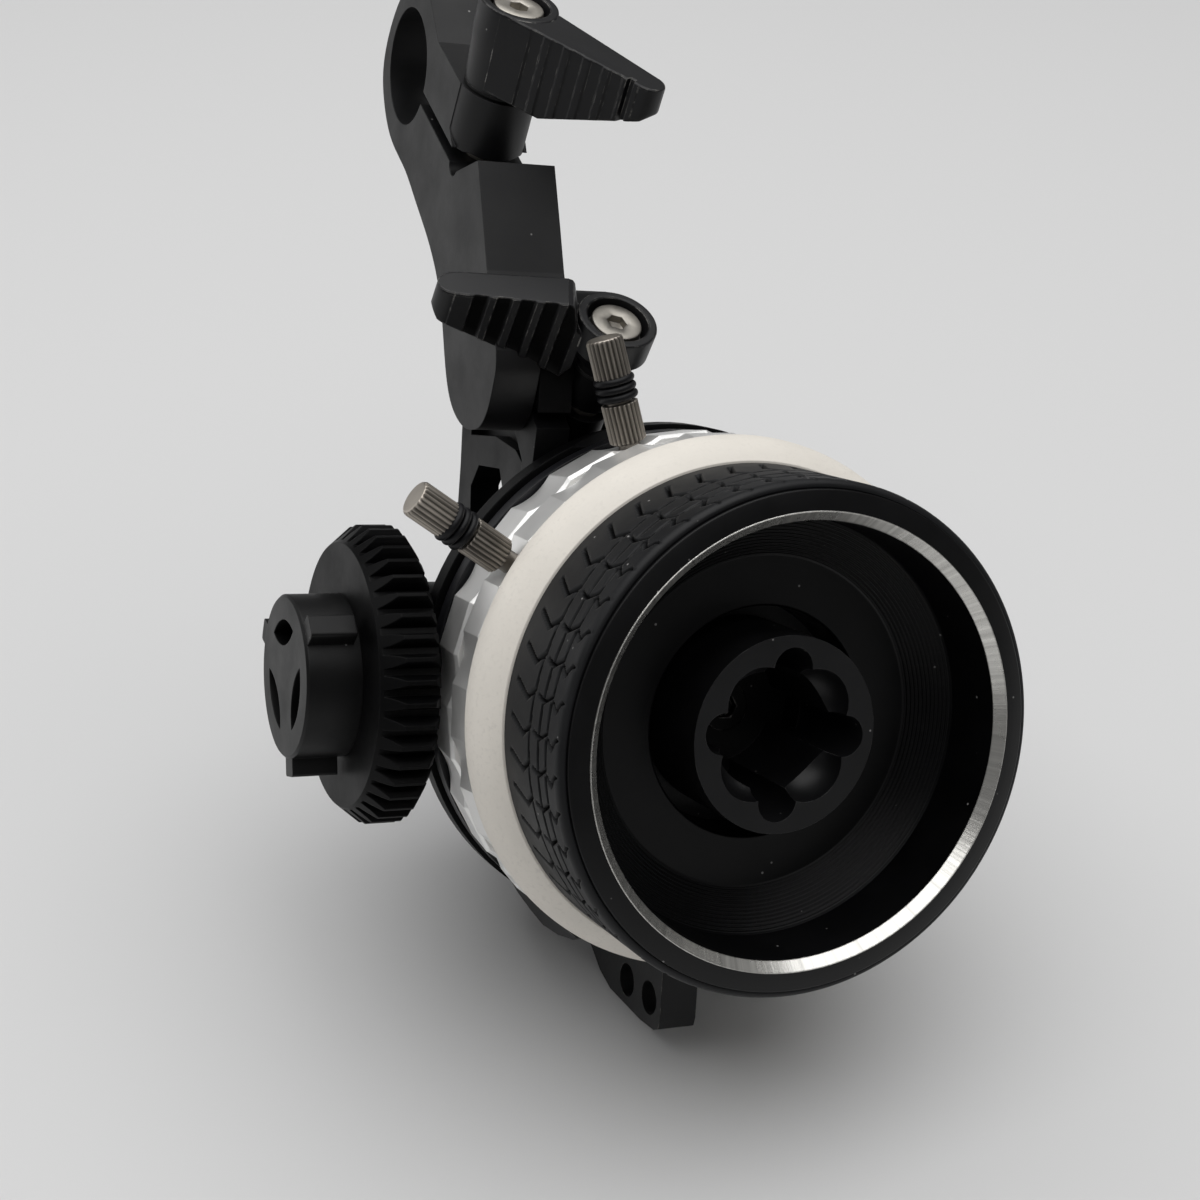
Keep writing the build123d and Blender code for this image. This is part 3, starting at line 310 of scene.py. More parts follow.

# %% [markdown]
# ## The stop pins
# Each ring has a steel pin to hold on to and to stop the turn. Its two grips have straight knurling, and three
# rubber o-rings sit in the waist between them. A displaced cylinder would blur the teeth, so a star-shaped ring of
# 22 teeth is placed for each section of the pin, and the rings are bridged. Painted shade for the grooves and the
# waist goes on the vertices, as on the tread.

# %% Knurled stop pins
PIN_TEETH = 22
PIN_ROOT = 28.7
PIN_BORE, PIN_WAIST, PIN_GRIP = 1.3, 1.5, 2.2
# painted shade: the waist beside the o-rings and the grooves between the teeth are darkened
WAIST_SHADE = 0.6
GROOVE_SHADE = 0.85
# distance past the base, radius, depth of the teeth, painted shade in the grooves
PIN_SECTIONS = [
    (0.0, PIN_BORE, 0.0, WAIST_SHADE), (0.0, 1.85, 0.1, GROOVE_SHADE),
    (0.25, PIN_GRIP, 0.26, GROOVE_SHADE), (4.75, PIN_GRIP, 0.26, GROOVE_SHADE), (4.8, 2.1, 0.2, GROOVE_SHADE),
    (4.8, PIN_WAIST, 0.0, WAIST_SHADE), (7.8, PIN_WAIST, 0.0, WAIST_SHADE),
    (7.8, 2.1, 0.2, GROOVE_SHADE), (7.85, PIN_GRIP, 0.26, GROOVE_SHADE), (12.2, PIN_GRIP, 0.26, GROOVE_SHADE),
    (12.5, 2.05, 0.1, 0.5), (12.55, 1.95, 0.0, 0.0), (12.6, 1.85, 0.0, 0.0),  # smooth, bright end
]


def pin_ring(bm, groove, centre, across, along, radius, tooth, shade):
    ring = bmesh.ops.create_circle(bm, cap_ends=False, segments=2 * PIN_TEETH, radius=1.0)["verts"]
    for k, v in enumerate(ring):
        r = (radius - (tooth if k % 2 else 0)) * MM
        turn = 2 * pi * k / len(ring)
        v.co = centre + across * r * cos(turn) + along * r * sin(turn)
        # painted shade in the grooves between teeth, and all round where there are no teeth
        v[groove] = shade if k % 2 or not tooth else 0.0
    return ring


def bridge(bm, low, high):
    edges = [e for e in bm.edges if e.verts[0] in low and e.verts[1] in low]
    edges += [e for e in bm.edges if e.verts[0] in high and e.verts[1] in high]
    bmesh.ops.bridge_loops(bm, edges=list(set(edges)))


def knurled_pin(name, body, angle, front, base, stands_for):
    outward = Vector((-cos(radians(angle)), 0, sin(radians(angle))))
    across = Vector((-outward.z, 0, outward.x))
    along = Vector((0, -1, 0))
    sections = [(PIN_ROOT, PIN_BORE, 0.0, WAIST_SHADE)] + [(base + d, *rest) for d, *rest in PIN_SECTIONS]
    bm = bmesh.new()
    groove = bm.verts.layers.float.new("slit")
    rings = []
    for distance, radius, tooth, shade in sections:
        centre = place(0, front, 0) + outward * distance * MM
        rings.append(pin_ring(bm, groove, centre, across, along, radius, tooth, shade))
    for low, high in zip(rings, rings[1:]):
        bridge(bm, low, high)
    bmesh.ops.contextual_create(bm, geom=rings[0])
    bmesh.ops.contextual_create(bm, geom=rings[-1])
    finish_mesh(name, bm, body, 15, [stands_for])


FRONT_PIN_DEPTH, FRONT_PIN_BASE = 24.75, 32.05
REAR_PIN_DEPTH, REAR_PIN_BASE = 29.75, 31.45
knurled_pin("knurled_pin_front", "front_pin", FRONT_PIN_ANGLE, WHEEL_FRONT - FRONT_PIN_DEPTH, FRONT_PIN_BASE,
            "stop_pin_front")
knurled_pin("knurled_pin_rear", "rear_pin", REAR_PIN_ANGLE, WHEEL_FRONT - REAR_PIN_DEPTH, REAR_PIN_BASE,
            "stop_pin_rear")

# %% [markdown]
# ## A lever's directions and rules
# Two cast levers lock the unit: one closes the rod clamp and one holds the arm. Each is a hub with
# a tall, thin wing whose side is ribbed for the thumb. Sculpting the wing would be slow to change,
# so each of its features is one rule along the wing: its heights and half thickness as lines
# through a few points, the valleys between the ribs, and the rounding of the tip.

# %% Lever directions and rules
WING_END = 21.8
TIP_HALF = 2.1
TIP_POINT = 0.05
NO_LIMIT = 2 * TIP_HALF + 1
RIBS = 5
RIB_PITCH = 2.7
RIB_FIRST = 5.85
VALLEY_HALF = 0.95
VALLEY_WALL = 0.25


def lever_axes(lean, swing, hand=1):
    # x runs along the wing, y across it toward its ribs, z up the screw; hand is -1 on a mirrored lever
    z = Vector((0, -sin(radians(lean)), cos(radians(lean))))
    x = Vector((-cos(radians(swing)), sin(radians(swing)) * cos(radians(lean)),
                sin(radians(swing)) * sin(radians(lean))))
    return x, z.cross(x) * hand, z


def between(x, points):
    # height at x on a line through the points
    for (xa, ya), (xb, yb) in zip(points, points[1:]):
        if x <= xb:
            return ya + (yb - ya) * max(0.0, x - xa) / (xb - xa)
    return points[-1][1]


def valley(x):
    # 0 on a rib, 1 in the middle of a valley
    if x < RIB_FIRST - RIB_PITCH / 2 or x > RIB_FIRST + (RIBS - 0.5) * RIB_PITCH:
        return 0.0
    off = (x - RIB_FIRST + RIB_PITCH / 2) % RIB_PITCH - RIB_PITCH / 2
    return min(1.0, max(0.0, (VALLEY_HALF - abs(off)) / VALLEY_WALL))


def tip_limit(x):
    # half thickness that the round tip allows
    reach = x - (WING_END - TIP_HALF)
    return (max(TIP_POINT ** 2, TIP_HALF ** 2 - reach ** 2)) ** 0.5 if reach > 0 else NO_LIMIT


# %% [markdown]
# ## The wing and its hub
# The wing starts as a flat grid that is extruded once into a slab. After that each vertex gets its
# place from its row and its column. Extra rows near both borders round the edges, and the ribs
# fade out there. The hub is a turned cup that hides the screw's head, spun into the same mesh.

# %% Ribbed wing with its hub
WING_COLUMNS = 216
MIDDLE_ROWS = 6
EDGE_ROWS = [(0.0, 0.3), (0.1, 0.1), (0.3, 0.0)]  # height from the border, how far the side is drawn in
EDGE_HEIGHT = 0.3
RIB_FADE = (0.15, 0.4, 0.8, 1.0)  # share of the rib depth in the rows from the border inward
THINNEST = 0.02
# painted shade: the valleys between ribs deeper than DEEP_RIB are darkened
DEEP_RIB = 0.3  # ribs deeper than this are also darkened by the material
HUB_STEPS = 96
HUB_RADIUS = 4.9
CUP_RADIUS = 3.9
CUP_FLOOR = -2.1
SCREW_HOLE = 2.05


def wing_height(row, last, low, high):
    rows = len(EDGE_ROWS)
    if row < rows:
        return low + EDGE_ROWS[row][0]
    if row > last - rows:
        return high - EDGE_ROWS[last - row][0]
    return low + EDGE_HEIGHT + (high - low - 2 * EDGE_HEIGHT) * (row - rows + 1) / (last - 2 * rows + 2)


def ribbed_lever(name, body, stands_for, origin, axes, start, top, bottom, ribbed, plain, rib_depth, hub):
    x_axis, y_axis, z_axis = axes
    last = 2 * len(EDGE_ROWS) + MIDDLE_ROWS - 1
    bm = bmesh.new()
    bmesh.ops.create_grid(bm, x_segments=WING_COLUMNS, y_segments=last, size=1.0)
    slab = bmesh.ops.extrude_face_region(bm, geom=bm.faces[:])
    for v in slab["geom"]:
        if isinstance(v, bmesh.types.BMVert):
            v.co.z = 1.0
    shade = bm.verts.layers.float.new("slit")
    for v in bm.verts:
        x = start + (WING_END - start) * (v.co.x + 1) / 2
        row = round((v.co.y + 1) / 2 * last)
        from_border = min(row, last - row)
        inset = EDGE_ROWS[from_border][1] if from_border < len(EDGE_ROWS) else 0.0
        z = wing_height(row, last, between(x, bottom), between(x, top))
        if v.co.z < 0.5:  # the ribbed side of the slab
            groove = valley(x) * RIB_FADE[min(3, from_border)]
            y = max(THINNEST, min(between(x, ribbed), tip_limit(x)) - rib_depth * groove - inset)
            # painted shade in the valleys between the ribs
            v[shade] = groove * (rib_depth > DEEP_RIB) * (0 < row < last)
        else:
            y = plain(x, z, inset)
        v.co = origin + (x_axis * x + y_axis * y + z_axis * z) * MM
    spin_profile(bm, [origin + (x_axis * r + z_axis * d) * MM for r, d in hub], HUB_STEPS, origin, z_axis)
    finish_mesh(name, bm, body, 20, [stands_for])


def lever_hub(foot_radius, height):
    return [
        (HUB_RADIUS - 0.25, 0), (HUB_RADIUS - 0.07, -0.07), (HUB_RADIUS, -0.25), (HUB_RADIUS, -3.9),
        (foot_radius + 0.3, -5.9), (foot_radius, -height), (SCREW_HOLE, -height), (SCREW_HOLE, CUP_FLOOR),
        (3.35, CUP_FLOOR), (CUP_RADIUS - 0.1, -0.1), (CUP_RADIUS + 0.1, 0),
    ]


# %% [markdown]
# ## Lever screws
# A socket screw holds each lever. Its head and its round recess are spun in one outline. A recess
# cut with a boolean would leave long thin faces; here the vertices on its wall are pulled in to
# the six flats of the key, and the faces stay even.

# %% Lever screws
SCREW_STEPS = 48
SHANK_RADIUS = 2.0
HEAD_RADIUS = 3.1
HEAD_TOP = -0.4
HEX_RADIUS = 1.25
HEX_DEPTH = 1.1
HEX_SECTOR = 60
DRILL_POINT = 0.3
ON_WALL = 0.01


def screw_outline(depth):
    return [
        (SHANK_RADIUS, -depth), (SHANK_RADIUS, CUP_FLOOR), (HEAD_RADIUS, CUP_FLOOR), (HEAD_RADIUS, -0.62),
        (3.02, -0.48), (2.85, HEAD_TOP), (1.45, HEAD_TOP), (HEX_RADIUS, -0.52), (HEX_RADIUS, HEAD_TOP - HEX_DEPTH),
        (0.0, HEAD_TOP - HEX_DEPTH - DRILL_POINT), (0.0, -depth),
    ]


def lever_screw(name, body, stands_for, origin, z_axis, x_axis, depth):
    bm = bmesh.new()
    points = [origin + (x_axis * r + z_axis * d) * MM for r, d in screw_outline(depth)]
    spin_profile(bm, points, SCREW_STEPS, origin, z_axis)
    y_axis = z_axis.cross(x_axis)
    for v in bm.verts:
        local = (v.co - origin) / MM
        along = local.dot(z_axis)
        across = local - z_axis * along
        if HEAD_TOP - HEX_DEPTH - ON_WALL < along < -0.5 and abs(across.length - HEX_RADIUS) < ON_WALL:
            turn = degrees(atan2(across.dot(y_axis), across.dot(x_axis))) % HEX_SECTOR
            pull = cos(radians(HEX_SECTOR / 2)) / cos(radians(turn - HEX_SECTOR / 2))
            v.co = origin + (z_axis * along + across * pull) * MM
    finish_mesh(name, bm, body, 30, [stands_for])


# %% [markdown]
# ## The clamp lever
# This lever closes the clamp on the rod. Its plain side is flat and runs straight into the round
# hub, so that side follows the hub's circle first and the wing's taper after it.

# %% Clamp lever
CLAMP_LEAN, CLAMP_SWING = 31.7, -125.6
CLAMP_ORIGIN = place(18.0, -5.596, 80.646)
CLAMP_HEIGHT = 10.7
CLAMP_SCREW_LENGTH = 28.8
CLAMP_BACK = [(4.3, 2.7), (WING_END, 2.0)]
INSIDE_HUB = 4.3


def clamp_back(x, z, inset):
    if x < INSIDE_HUB:
        return (INSIDE_HUB ** 2 - x ** 2) ** 0.5
    return -max(THINNEST, min(between(x, CLAMP_BACK), tip_limit(x)) - inset)


clamp_axes = lever_axes(CLAMP_LEAN, CLAMP_SWING, hand=-1)
lever_screw("clamp_screw_turned", "clamp_lever", "clamp_lever_screw", CLAMP_ORIGIN, clamp_axes[2], clamp_axes[0],
            CLAMP_SCREW_LENGTH)
ribbed_lever(
    "clamp_lever_ribbed", "clamp_lever", "clamp_lever_handle", CLAMP_ORIGIN, clamp_axes, start=0.8,
    top=[(0, 0.0), (WING_END, -0.7)],
    bottom=[(0, -CLAMP_HEIGHT + 0.4), (4.9, -CLAMP_HEIGHT + 0.3), (8.4, -10.5), (20.8, -5.0), (WING_END, -3.9)],
    ribbed=[(0, 4.85), (18.0, 2.35), (18.2, 1.6), (18.8, 1.6), (19.0, 2.2), (WING_END, 2.1)],
    plain=clamp_back, rib_depth=0.2, hub=lever_hub(4.4, CLAMP_HEIGHT))

# %% [markdown]
# ## The lock lever
# This lever holds the arm at its angle. Its wing stands above the hub and lies close to the arm, so
# its plain side can't be one straight line: at each vertex the wing is made thinner in small steps
# until it clears the arm's side and front faces.

# %% Lock lever
LOCK_LEAN, LOCK_SWING = 39.0, 16.6
LOCK_ORIGIN = place(9.6, 9.475, 43.981)
LOCK_HEIGHT = 7.15
LOCK_SCREW_LENGTH = 20.35
LOCK_BACK = [(0, 2.9), (WING_END, 2.1)]
ARM_GAP = 1.0
ARM_SIDE = 12.0
SIDE_GAP = 0.05
ARM_FRONT = [(28.0, 4.6), (39.7, 4.6), (48.9, 0.4), (54.8, -1.7), (70.0, -1.7)]  # up, front
THINNING_STEP = 0.1
THINNING_STEPS = 60
LEAST_WING = 0.7


def lock_back(x, z, inset):
    y = -max(THINNEST, min(between(x, LOCK_BACK), tip_limit(x)) - inset)
    for _ in range(THINNING_STEPS):
        point = LOCK_ORIGIN / MM + lock_axes[0] * x + lock_axes[1] * y + lock_axes[2] * z
        away = CROSSING - point
        clear_of_side = away.x < ARM_SIDE - SIDE_GAP
        clear_of_front = away.y > between(-away.z, ARM_FRONT) + ARM_GAP
        if clear_of_side or clear_of_front or y > min(TIP_HALF, tip_limit(x)) - LEAST_WING:
            break
        y += THINNING_STEP
    return y


lock_axes = lever_axes(LOCK_LEAN, LOCK_SWING)
lever_screw("lock_screw_turned", "lock_lever", "lock_lever_screw", LOCK_ORIGIN, lock_axes[2], lock_axes[0],
            LOCK_SCREW_LENGTH)
ribbed_lever(
    "lock_lever_ribbed", "lock_lever", "lock_lever_handle", LOCK_ORIGIN, lock_axes, start=3.9,
    top=[(3.9, -1.4), (4.75, -1.0), (5.85, 1.75), (6.2, 2.1), (6.8, 2.2), (WING_END, -0.7)],
    bottom=[(3.9, -LOCK_HEIGHT + 0.4), (4.9, -8.6), (8.4, -7.6), (20.8, -5.0), (WING_END, -3.9)],
    ribbed=LOCK_BACK, plain=lock_back, rib_depth=0.4, hub=lever_hub(3.2, LOCK_HEIGHT))

# %% [markdown]
# ## Shader groups
# Several materials share the same effects: blasted grain, dust, worn edges, lines from the lathe.
# Each effect is a node group, made once and placed in each material with its own values. A group
# reads object coordinates, so its pattern stays fixed to the piece when it turns, and it gives back
# only masks, heights or normals. The shader itself stays in the material, where it can be exported.

# %% Group helpers
def new_group(name, inputs, outputs):
    group = bpy.data.node_groups.new(name, "ShaderNodeTree")
    for label, value in inputs:
        socket = group.interface.new_socket(label, in_out="INPUT", socket_type="NodeSocketFloat")
        socket.default_value = value
    for label, kind in outputs:
        group.interface.new_socket(label, in_out="OUTPUT", socket_type=kind)
    return group, group.nodes.new("NodeGroupInput"), group.nodes.new("NodeGroupOutput")


def object_coordinates(tree):
    return tree.nodes.new("ShaderNodeTexCoord").outputs["Object"]


def math_node(tree, operation, *values):
    node = tree.nodes.new("ShaderNodeMath")
    node.operation = operation
    for socket, value in zip(node.inputs, values):
        if isinstance(value, (int, float)):
            socket.default_value = value
        else:
            tree.links.new(value, socket)
    return node.outputs[0]


def ramp(tree, value, low, high):
    # 0 at low and below, 1 at high and above
    node = tree.nodes.new("ShaderNodeMapRange")
    node.clamp = True
    tree.links.new(value, node.inputs["Value"])
    node.inputs["From Min"].default_value = low
    node.inputs["From Max"].default_value = high
    return node.outputs["Result"]


def noise(tree, vector, scale, detail, rough):
    node = tree.nodes.new("ShaderNodeTexNoise")
    tree.links.new(vector, node.inputs["Vector"])
    node.inputs["Scale"].default_value = scale
    node.inputs["Detail"].default_value = detail
    node.inputs["Roughness"].default_value = rough
    return node.outputs["Fac"]


# %% [markdown]
# ## Blasted grain
# Anodised parts are blasted with fine beads first, which leaves a tight, even grain. One noise of a
# chosen scale gives its height. A second, much larger noise gives soft blotches, because no real
# finish is quite even over a whole part.

# %% Blasted grain
grain, gin, gout = new_group("blasted_grain", [("Scale", 2500.0)],
                             [("Height", "NodeSocketFloat"), ("Blotch", "NodeSocketFloat")])
coords = object_coordinates(grain)
fine = grain.nodes.new("ShaderNodeTexNoise")
grain.links.new(coords, fine.inputs["Vector"])
grain.links.new(gin.outputs["Scale"], fine.inputs["Scale"])
fine.inputs["Detail"].default_value = 4.0
grain.links.new(fine.outputs["Fac"], gout.inputs["Height"])
grain.links.new(noise(grain, coords, scale=130.0, detail=5.0, rough=0.6), gout.inputs["Blotch"])
print("group", grain.name)

# %% [markdown]
# ## Dust
# A few specks of dust make a black surface look real. Scattered particles would be heavy; here the
# surface is divided into small cells, each with a random colour, and a cell gets a speck in its
# middle where that colour is below the wanted amount.

# %% Dust specks
dust, din, dout = new_group("dust_specks", [("Amount", 0.05)], [("Mask", "NodeSocketFloat")])
cells = dust.nodes.new("ShaderNodeTexVoronoi")
dust.links.new(object_coordinates(dust), cells.inputs["Vector"])
cells.inputs["Scale"].default_value = 900.0
specks = ramp(dust, cells.outputs["Distance"], low=0.16, high=0.08)
split = dust.nodes.new("ShaderNodeSeparateColor")
dust.links.new(cells.outputs["Color"], split.inputs["Color"])
chosen = math_node(dust, "LESS_THAN", split.outputs[0], din.outputs["Amount"])
dust.links.new(math_node(dust, "MULTIPLY", specks, chosen), dout.inputs["Mask"])
print("group", dust.name)

# %% [markdown]
# ## Worn and highlit edges
# Hands rub the black off a sharp edge, and bare metal shows. The Bevel node gives the normal that a rounded edge
# would have. Where it turns away from the true normal there is an edge, and a noise breaks the wear into patches.
# On some parts the pale colour of this mask is partly a painted highlight on the edge, not only wear. The rounded
# normal is given back too, so edges catch the light.

# %% Worn and highlit edges
wear_and_highlight_group, win, wout = new_group("worn_and_highlit_edges", [("Width", 0.0003)],
                            [("Mask", "NodeSocketFloat"), ("Normal", "NodeSocketVector")])
rounded = wear_and_highlight_group.nodes.new("ShaderNodeBevel")
rounded.samples = 6
wear_and_highlight_group.links.new(win.outputs["Width"], rounded.inputs["Radius"])
facing = wear_and_highlight_group.nodes.new("ShaderNodeVectorMath")
facing.operation = "DOT_PRODUCT"
wear_and_highlight_group.links.new(rounded.outputs["Normal"], facing.inputs[0])
wear_and_highlight_group.links.new(wear_and_highlight_group.nodes.new("ShaderNodeNewGeometry").outputs["Normal"], facing.inputs[1])
patches = noise(wear_and_highlight_group, object_coordinates(wear_and_highlight_group), scale=700.0, detail=4.0, rough=0.65)
edge = ramp(wear_and_highlight_group, facing.outputs["Value"], low=0.985, high=0.9)
wear_and_highlight_group.links.new(math_node(wear_and_highlight_group, "MULTIPLY", edge, ramp(wear_and_highlight_group, patches, low=0.48, high=0.62)), wout.inputs["Mask"])
wear_and_highlight_group.links.new(rounded.outputs["Normal"], wout.inputs["Normal"])
print("group", wear_and_highlight_group.name)

# %% [markdown]
# ## Marks of the lathe
# A turned face keeps fine rings around the shaft, and a polished chamfer has short streaks across
# it. Both are one-dimensional noises: the rings read the distance from the shaft plus the depth,
# and the streaks read the angle around the shaft.

# %% Turning lines and radial streaks
def from_shaft(tree):
    # object coordinates measured from the point where the shafts cross, split into X, Y and Z
    shift = tree.nodes.new("ShaderNodeVectorMath")
    shift.operation = "SUBTRACT"
    tree.links.new(object_coordinates(tree), shift.inputs[0])
    shift.inputs[1].default_value = place(0, 0, 0)
    parts = tree.nodes.new("ShaderNodeSeparateXYZ")
    tree.links.new(shift.outputs["Vector"], parts.inputs[0])
    return parts.outputs


def line_noise(tree, position, scale, detail, rough):
    lines = tree.nodes.new("ShaderNodeTexNoise")
    lines.noise_dimensions = "1D"
    tree.links.new(position, lines.inputs["W"])
    lines.inputs["Scale"].default_value = scale
    lines.inputs["Detail"].default_value = detail
    lines.inputs["Roughness"].default_value = rough
    return lines.outputs["Fac"]


turning, tin, tout = new_group("turning_lines", [("Lines", 6.0)], [("Height", "NodeSocketFloat")])
axes = from_shaft(turning)
squares = [math_node(turning, "MULTIPLY", axes[name], axes[name]) for name in ("X", "Z")]
distance = math_node(turning, "SQRT", math_node(turning, "ADD", *squares))
reach = math_node(turning, "ADD", distance, axes["Y"])
spacing = math_node(turning, "MULTIPLY", reach, tin.outputs["Lines"])
turning.links.new(line_noise(turning, spacing, scale=1000.0, detail=2.0, rough=0.5), tout.inputs["Height"])

radial, _, rout = new_group("radial_streaks", [], [("Height", "NodeSocketFloat")])
axes = from_shaft(radial)
turn = math_node(radial, "ARCTAN2", axes["Z"], axes["X"])
radial.links.new(line_noise(radial, turn, scale=30.0, detail=4.0, rough=0.65), rout.inputs["Height"])
print("groups", [g.name for g in bpy.data.node_groups])

# %% [markdown]
# ## Layers of a finish
# A finish is built in layers, much as on the real part: an uneven base colour, then spots, pale edges and dust.
# The pale edges are worn bare metal, and on some parts partly a painted highlight. Each layer is one colour mix
# with a mask. The pressed slits and grooves come last and get painted shade: their bottoms are darkened and lose
# their gloss, as little light reaches them.

# %% Colour layers
DUST_COLOUR = (0.42, 0.41, 0.4)
DUST_COVER = 0.55
# painted shade: colour and gloss at the bottom of slits and grooves
SLIT_SHADE_COLOUR = (0.001, 0.001, 0.001)
SLIT_SHADE_GLOSS = 0.05


def use_group(tree, group, **values):
    node = tree.nodes.new("ShaderNodeGroup")
    node.node_tree = group
    for label, value in values.items():
        node.inputs[label].default_value = value
    return node


def mix_colour(tree, factor, a, b):
    node = tree.nodes.new("ShaderNodeMix")
    node.data_type = "RGBA"
    tree.links.new(factor, node.inputs["Factor"])
    for socket, value in ((node.inputs[6], a), (node.inputs[7], b)):
        if isinstance(value, tuple):
            socket.default_value = (*value, 1.0)
        else:
            tree.links.new(value, socket)
    return node.outputs[2]


def paint_slit_shade(tree, shader, tone, specular):
    # painted shade: the "slit" value of a vertex darkens the colour and takes away the gloss
    slit = tree.nodes.new("ShaderNodeAttribute")
    slit.attribute_name = "slit"
    shine = tree.nodes.new("ShaderNodeMapRange")
    tree.links.new(slit.outputs["Fac"], shine.inputs["Value"])
    shine.inputs["To Min"].default_value = specular
    shine.inputs["To Max"].default_value = SLIT_SHADE_GLOSS
    tree.links.new(shine.outputs["Result"], shader.inputs["Specular IOR Level"])
    return mix_colour(tree, slit.outputs["Fac"], tone, SLIT_SHADE_COLOUR)


# %% [markdown]
# ## Relief of a finish
# The grain, the lathe lines and the streaks are far too small for the mesh, so they are a bump. Its
# height is the sum of what the finish has, and it starts from the rounded normal of the edges.

# %% Bump and roughness
BUMP_HEIGHT = 0.00002
GRAIN_UNDER_LINES = 0.4
ROUGH_SPREAD = 0.15


def uneven_roughness(tree, shader, blasted, roughness):
    rough = tree.nodes.new("ShaderNodeMapRange")
    tree.links.new(blasted.outputs["Blotch"], rough.inputs["Value"])
    rough.inputs["From Min"].default_value = 0.3
    rough.inputs["From Max"].default_value = 0.7
    rough.inputs["To Min"].default_value = roughness * (1 - ROUGH_SPREAD)
    rough.inputs["To Max"].default_value = min(1.0, roughness * (1 + ROUGH_SPREAD))
    tree.links.new(rough.outputs["Result"], shader.inputs["Roughness"])


def relief(tree, shader, height, strength, edges):
    bump = tree.nodes.new("ShaderNodeBump")
    bump.inputs["Distance"].default_value = BUMP_HEIGHT
    bump.inputs["Strength"].default_value = strength
    tree.links.new(height, bump.inputs["Height"])
    tree.links.new(edges.outputs["Normal"], bump.inputs["Normal"])
    tree.links.new(bump.outputs["Normal"], shader.inputs["Normal"])


# %% [markdown]
# ## One finish
# All metals, rubbers and plastics of the unit come from one function. It could be 21 hand-made
# materials, but then a change of the dust or the grain would have to be made 21 times.

# %% Material builder
def finish_of(name, colour, roughness, metallic=0.0, specular=0.5, variation=0.25, grain_scale=2500.0,
              grain_depth=0.15, dusty=0.04, wear_and_highlight_colour=None, wear_width=0.0002, mottle=0.0, lines=0.0, streaks=0.0,
              slits=False):
    material = bpy.data.materials.new(name)
    material.use_nodes = True
    tree = material.node_tree
    shader = tree.nodes["Principled BSDF"]
    shader.inputs["Metallic"].default_value = metallic
    shader.inputs["Specular IOR Level"].default_value = specular
    blasted = use_group(tree, grain, Scale=grain_scale)
    edges = use_group(tree, wear_and_highlight_group, Width=wear_width)
    height = blasted.outputs["Height"]
    uneven, low, high = blasted.outputs["Blotch"], 0.35, 0.65
    if lines:
        rings = use_group(tree, turning, Lines=lines)
        height = math_node(tree, "ADD", rings.outputs["Height"],
                           math_node(tree, "MULTIPLY", height, GRAIN_UNDER_LINES))
    if streaks:
        uneven, low, high = use_group(tree, radial).outputs["Height"], 0.3, 0.75
        height = math_node(tree, "ADD", height, math_node(tree, "MULTIPLY", uneven, streaks))
    darker = tuple(c * (1 - variation) for c in colour)
    lighter = tuple(min(1.0, c * (1 + variation)) for c in colour)
    tone = mix_colour(tree, ramp(tree, uneven, low, high), darker, lighter)
    if mottle:
        spots = ramp(tree, blasted.outputs["Height"], low=0.54, high=0.7)
        tone = mix_colour(tree, spots, tone, tuple(c * (1 - mottle) for c in colour))
    # pale edges: worn bare metal, and on some parts partly a painted highlight
    if wear_and_highlight_colour:
        tone = mix_colour(tree, edges.outputs["Mask"], tone, wear_and_highlight_colour)
    if dusty:
        specks = use_group(tree, dust, Amount=dusty).outputs["Mask"]
        tone = mix_colour(tree, math_node(tree, "MULTIPLY", specks, DUST_COVER), tone, DUST_COLOUR)
    # painted shade at the bottom of slits and grooves
    if slits:
        tone = paint_slit_shade(tree, shader, tone, specular)
    tree.links.new(tone, shader.inputs["Base Color"])
    uneven_roughness(tree, shader, blasted, roughness)
    relief(tree, shader, height, grain_depth, edges)
    return material


# %% [markdown]
# ## Black finishes
# Nearly everything here is black, and the eye tells the parts apart by their gloss: the wheel is smooth anodised
# aluminium, the housing and the arm are blasted first, the levers are lacquered, and the grip is rubber. Worn
# edges show the bare metal below; on the crank socket and the bracket the pale edge colour is partly a painted
# highlight as well.

# %% Black finishes
# pale edge colour: bare metal where the black is worn off, on the bracket partly a painted highlight
BARE_METAL_AND_HIGHLIGHT = (0.3, 0.29, 0.27)
DEEP_BLACK = (0.0015, 0.0015, 0.0018)
GEAR_BLACK = (0.0015, 0.0015, 0.0017)

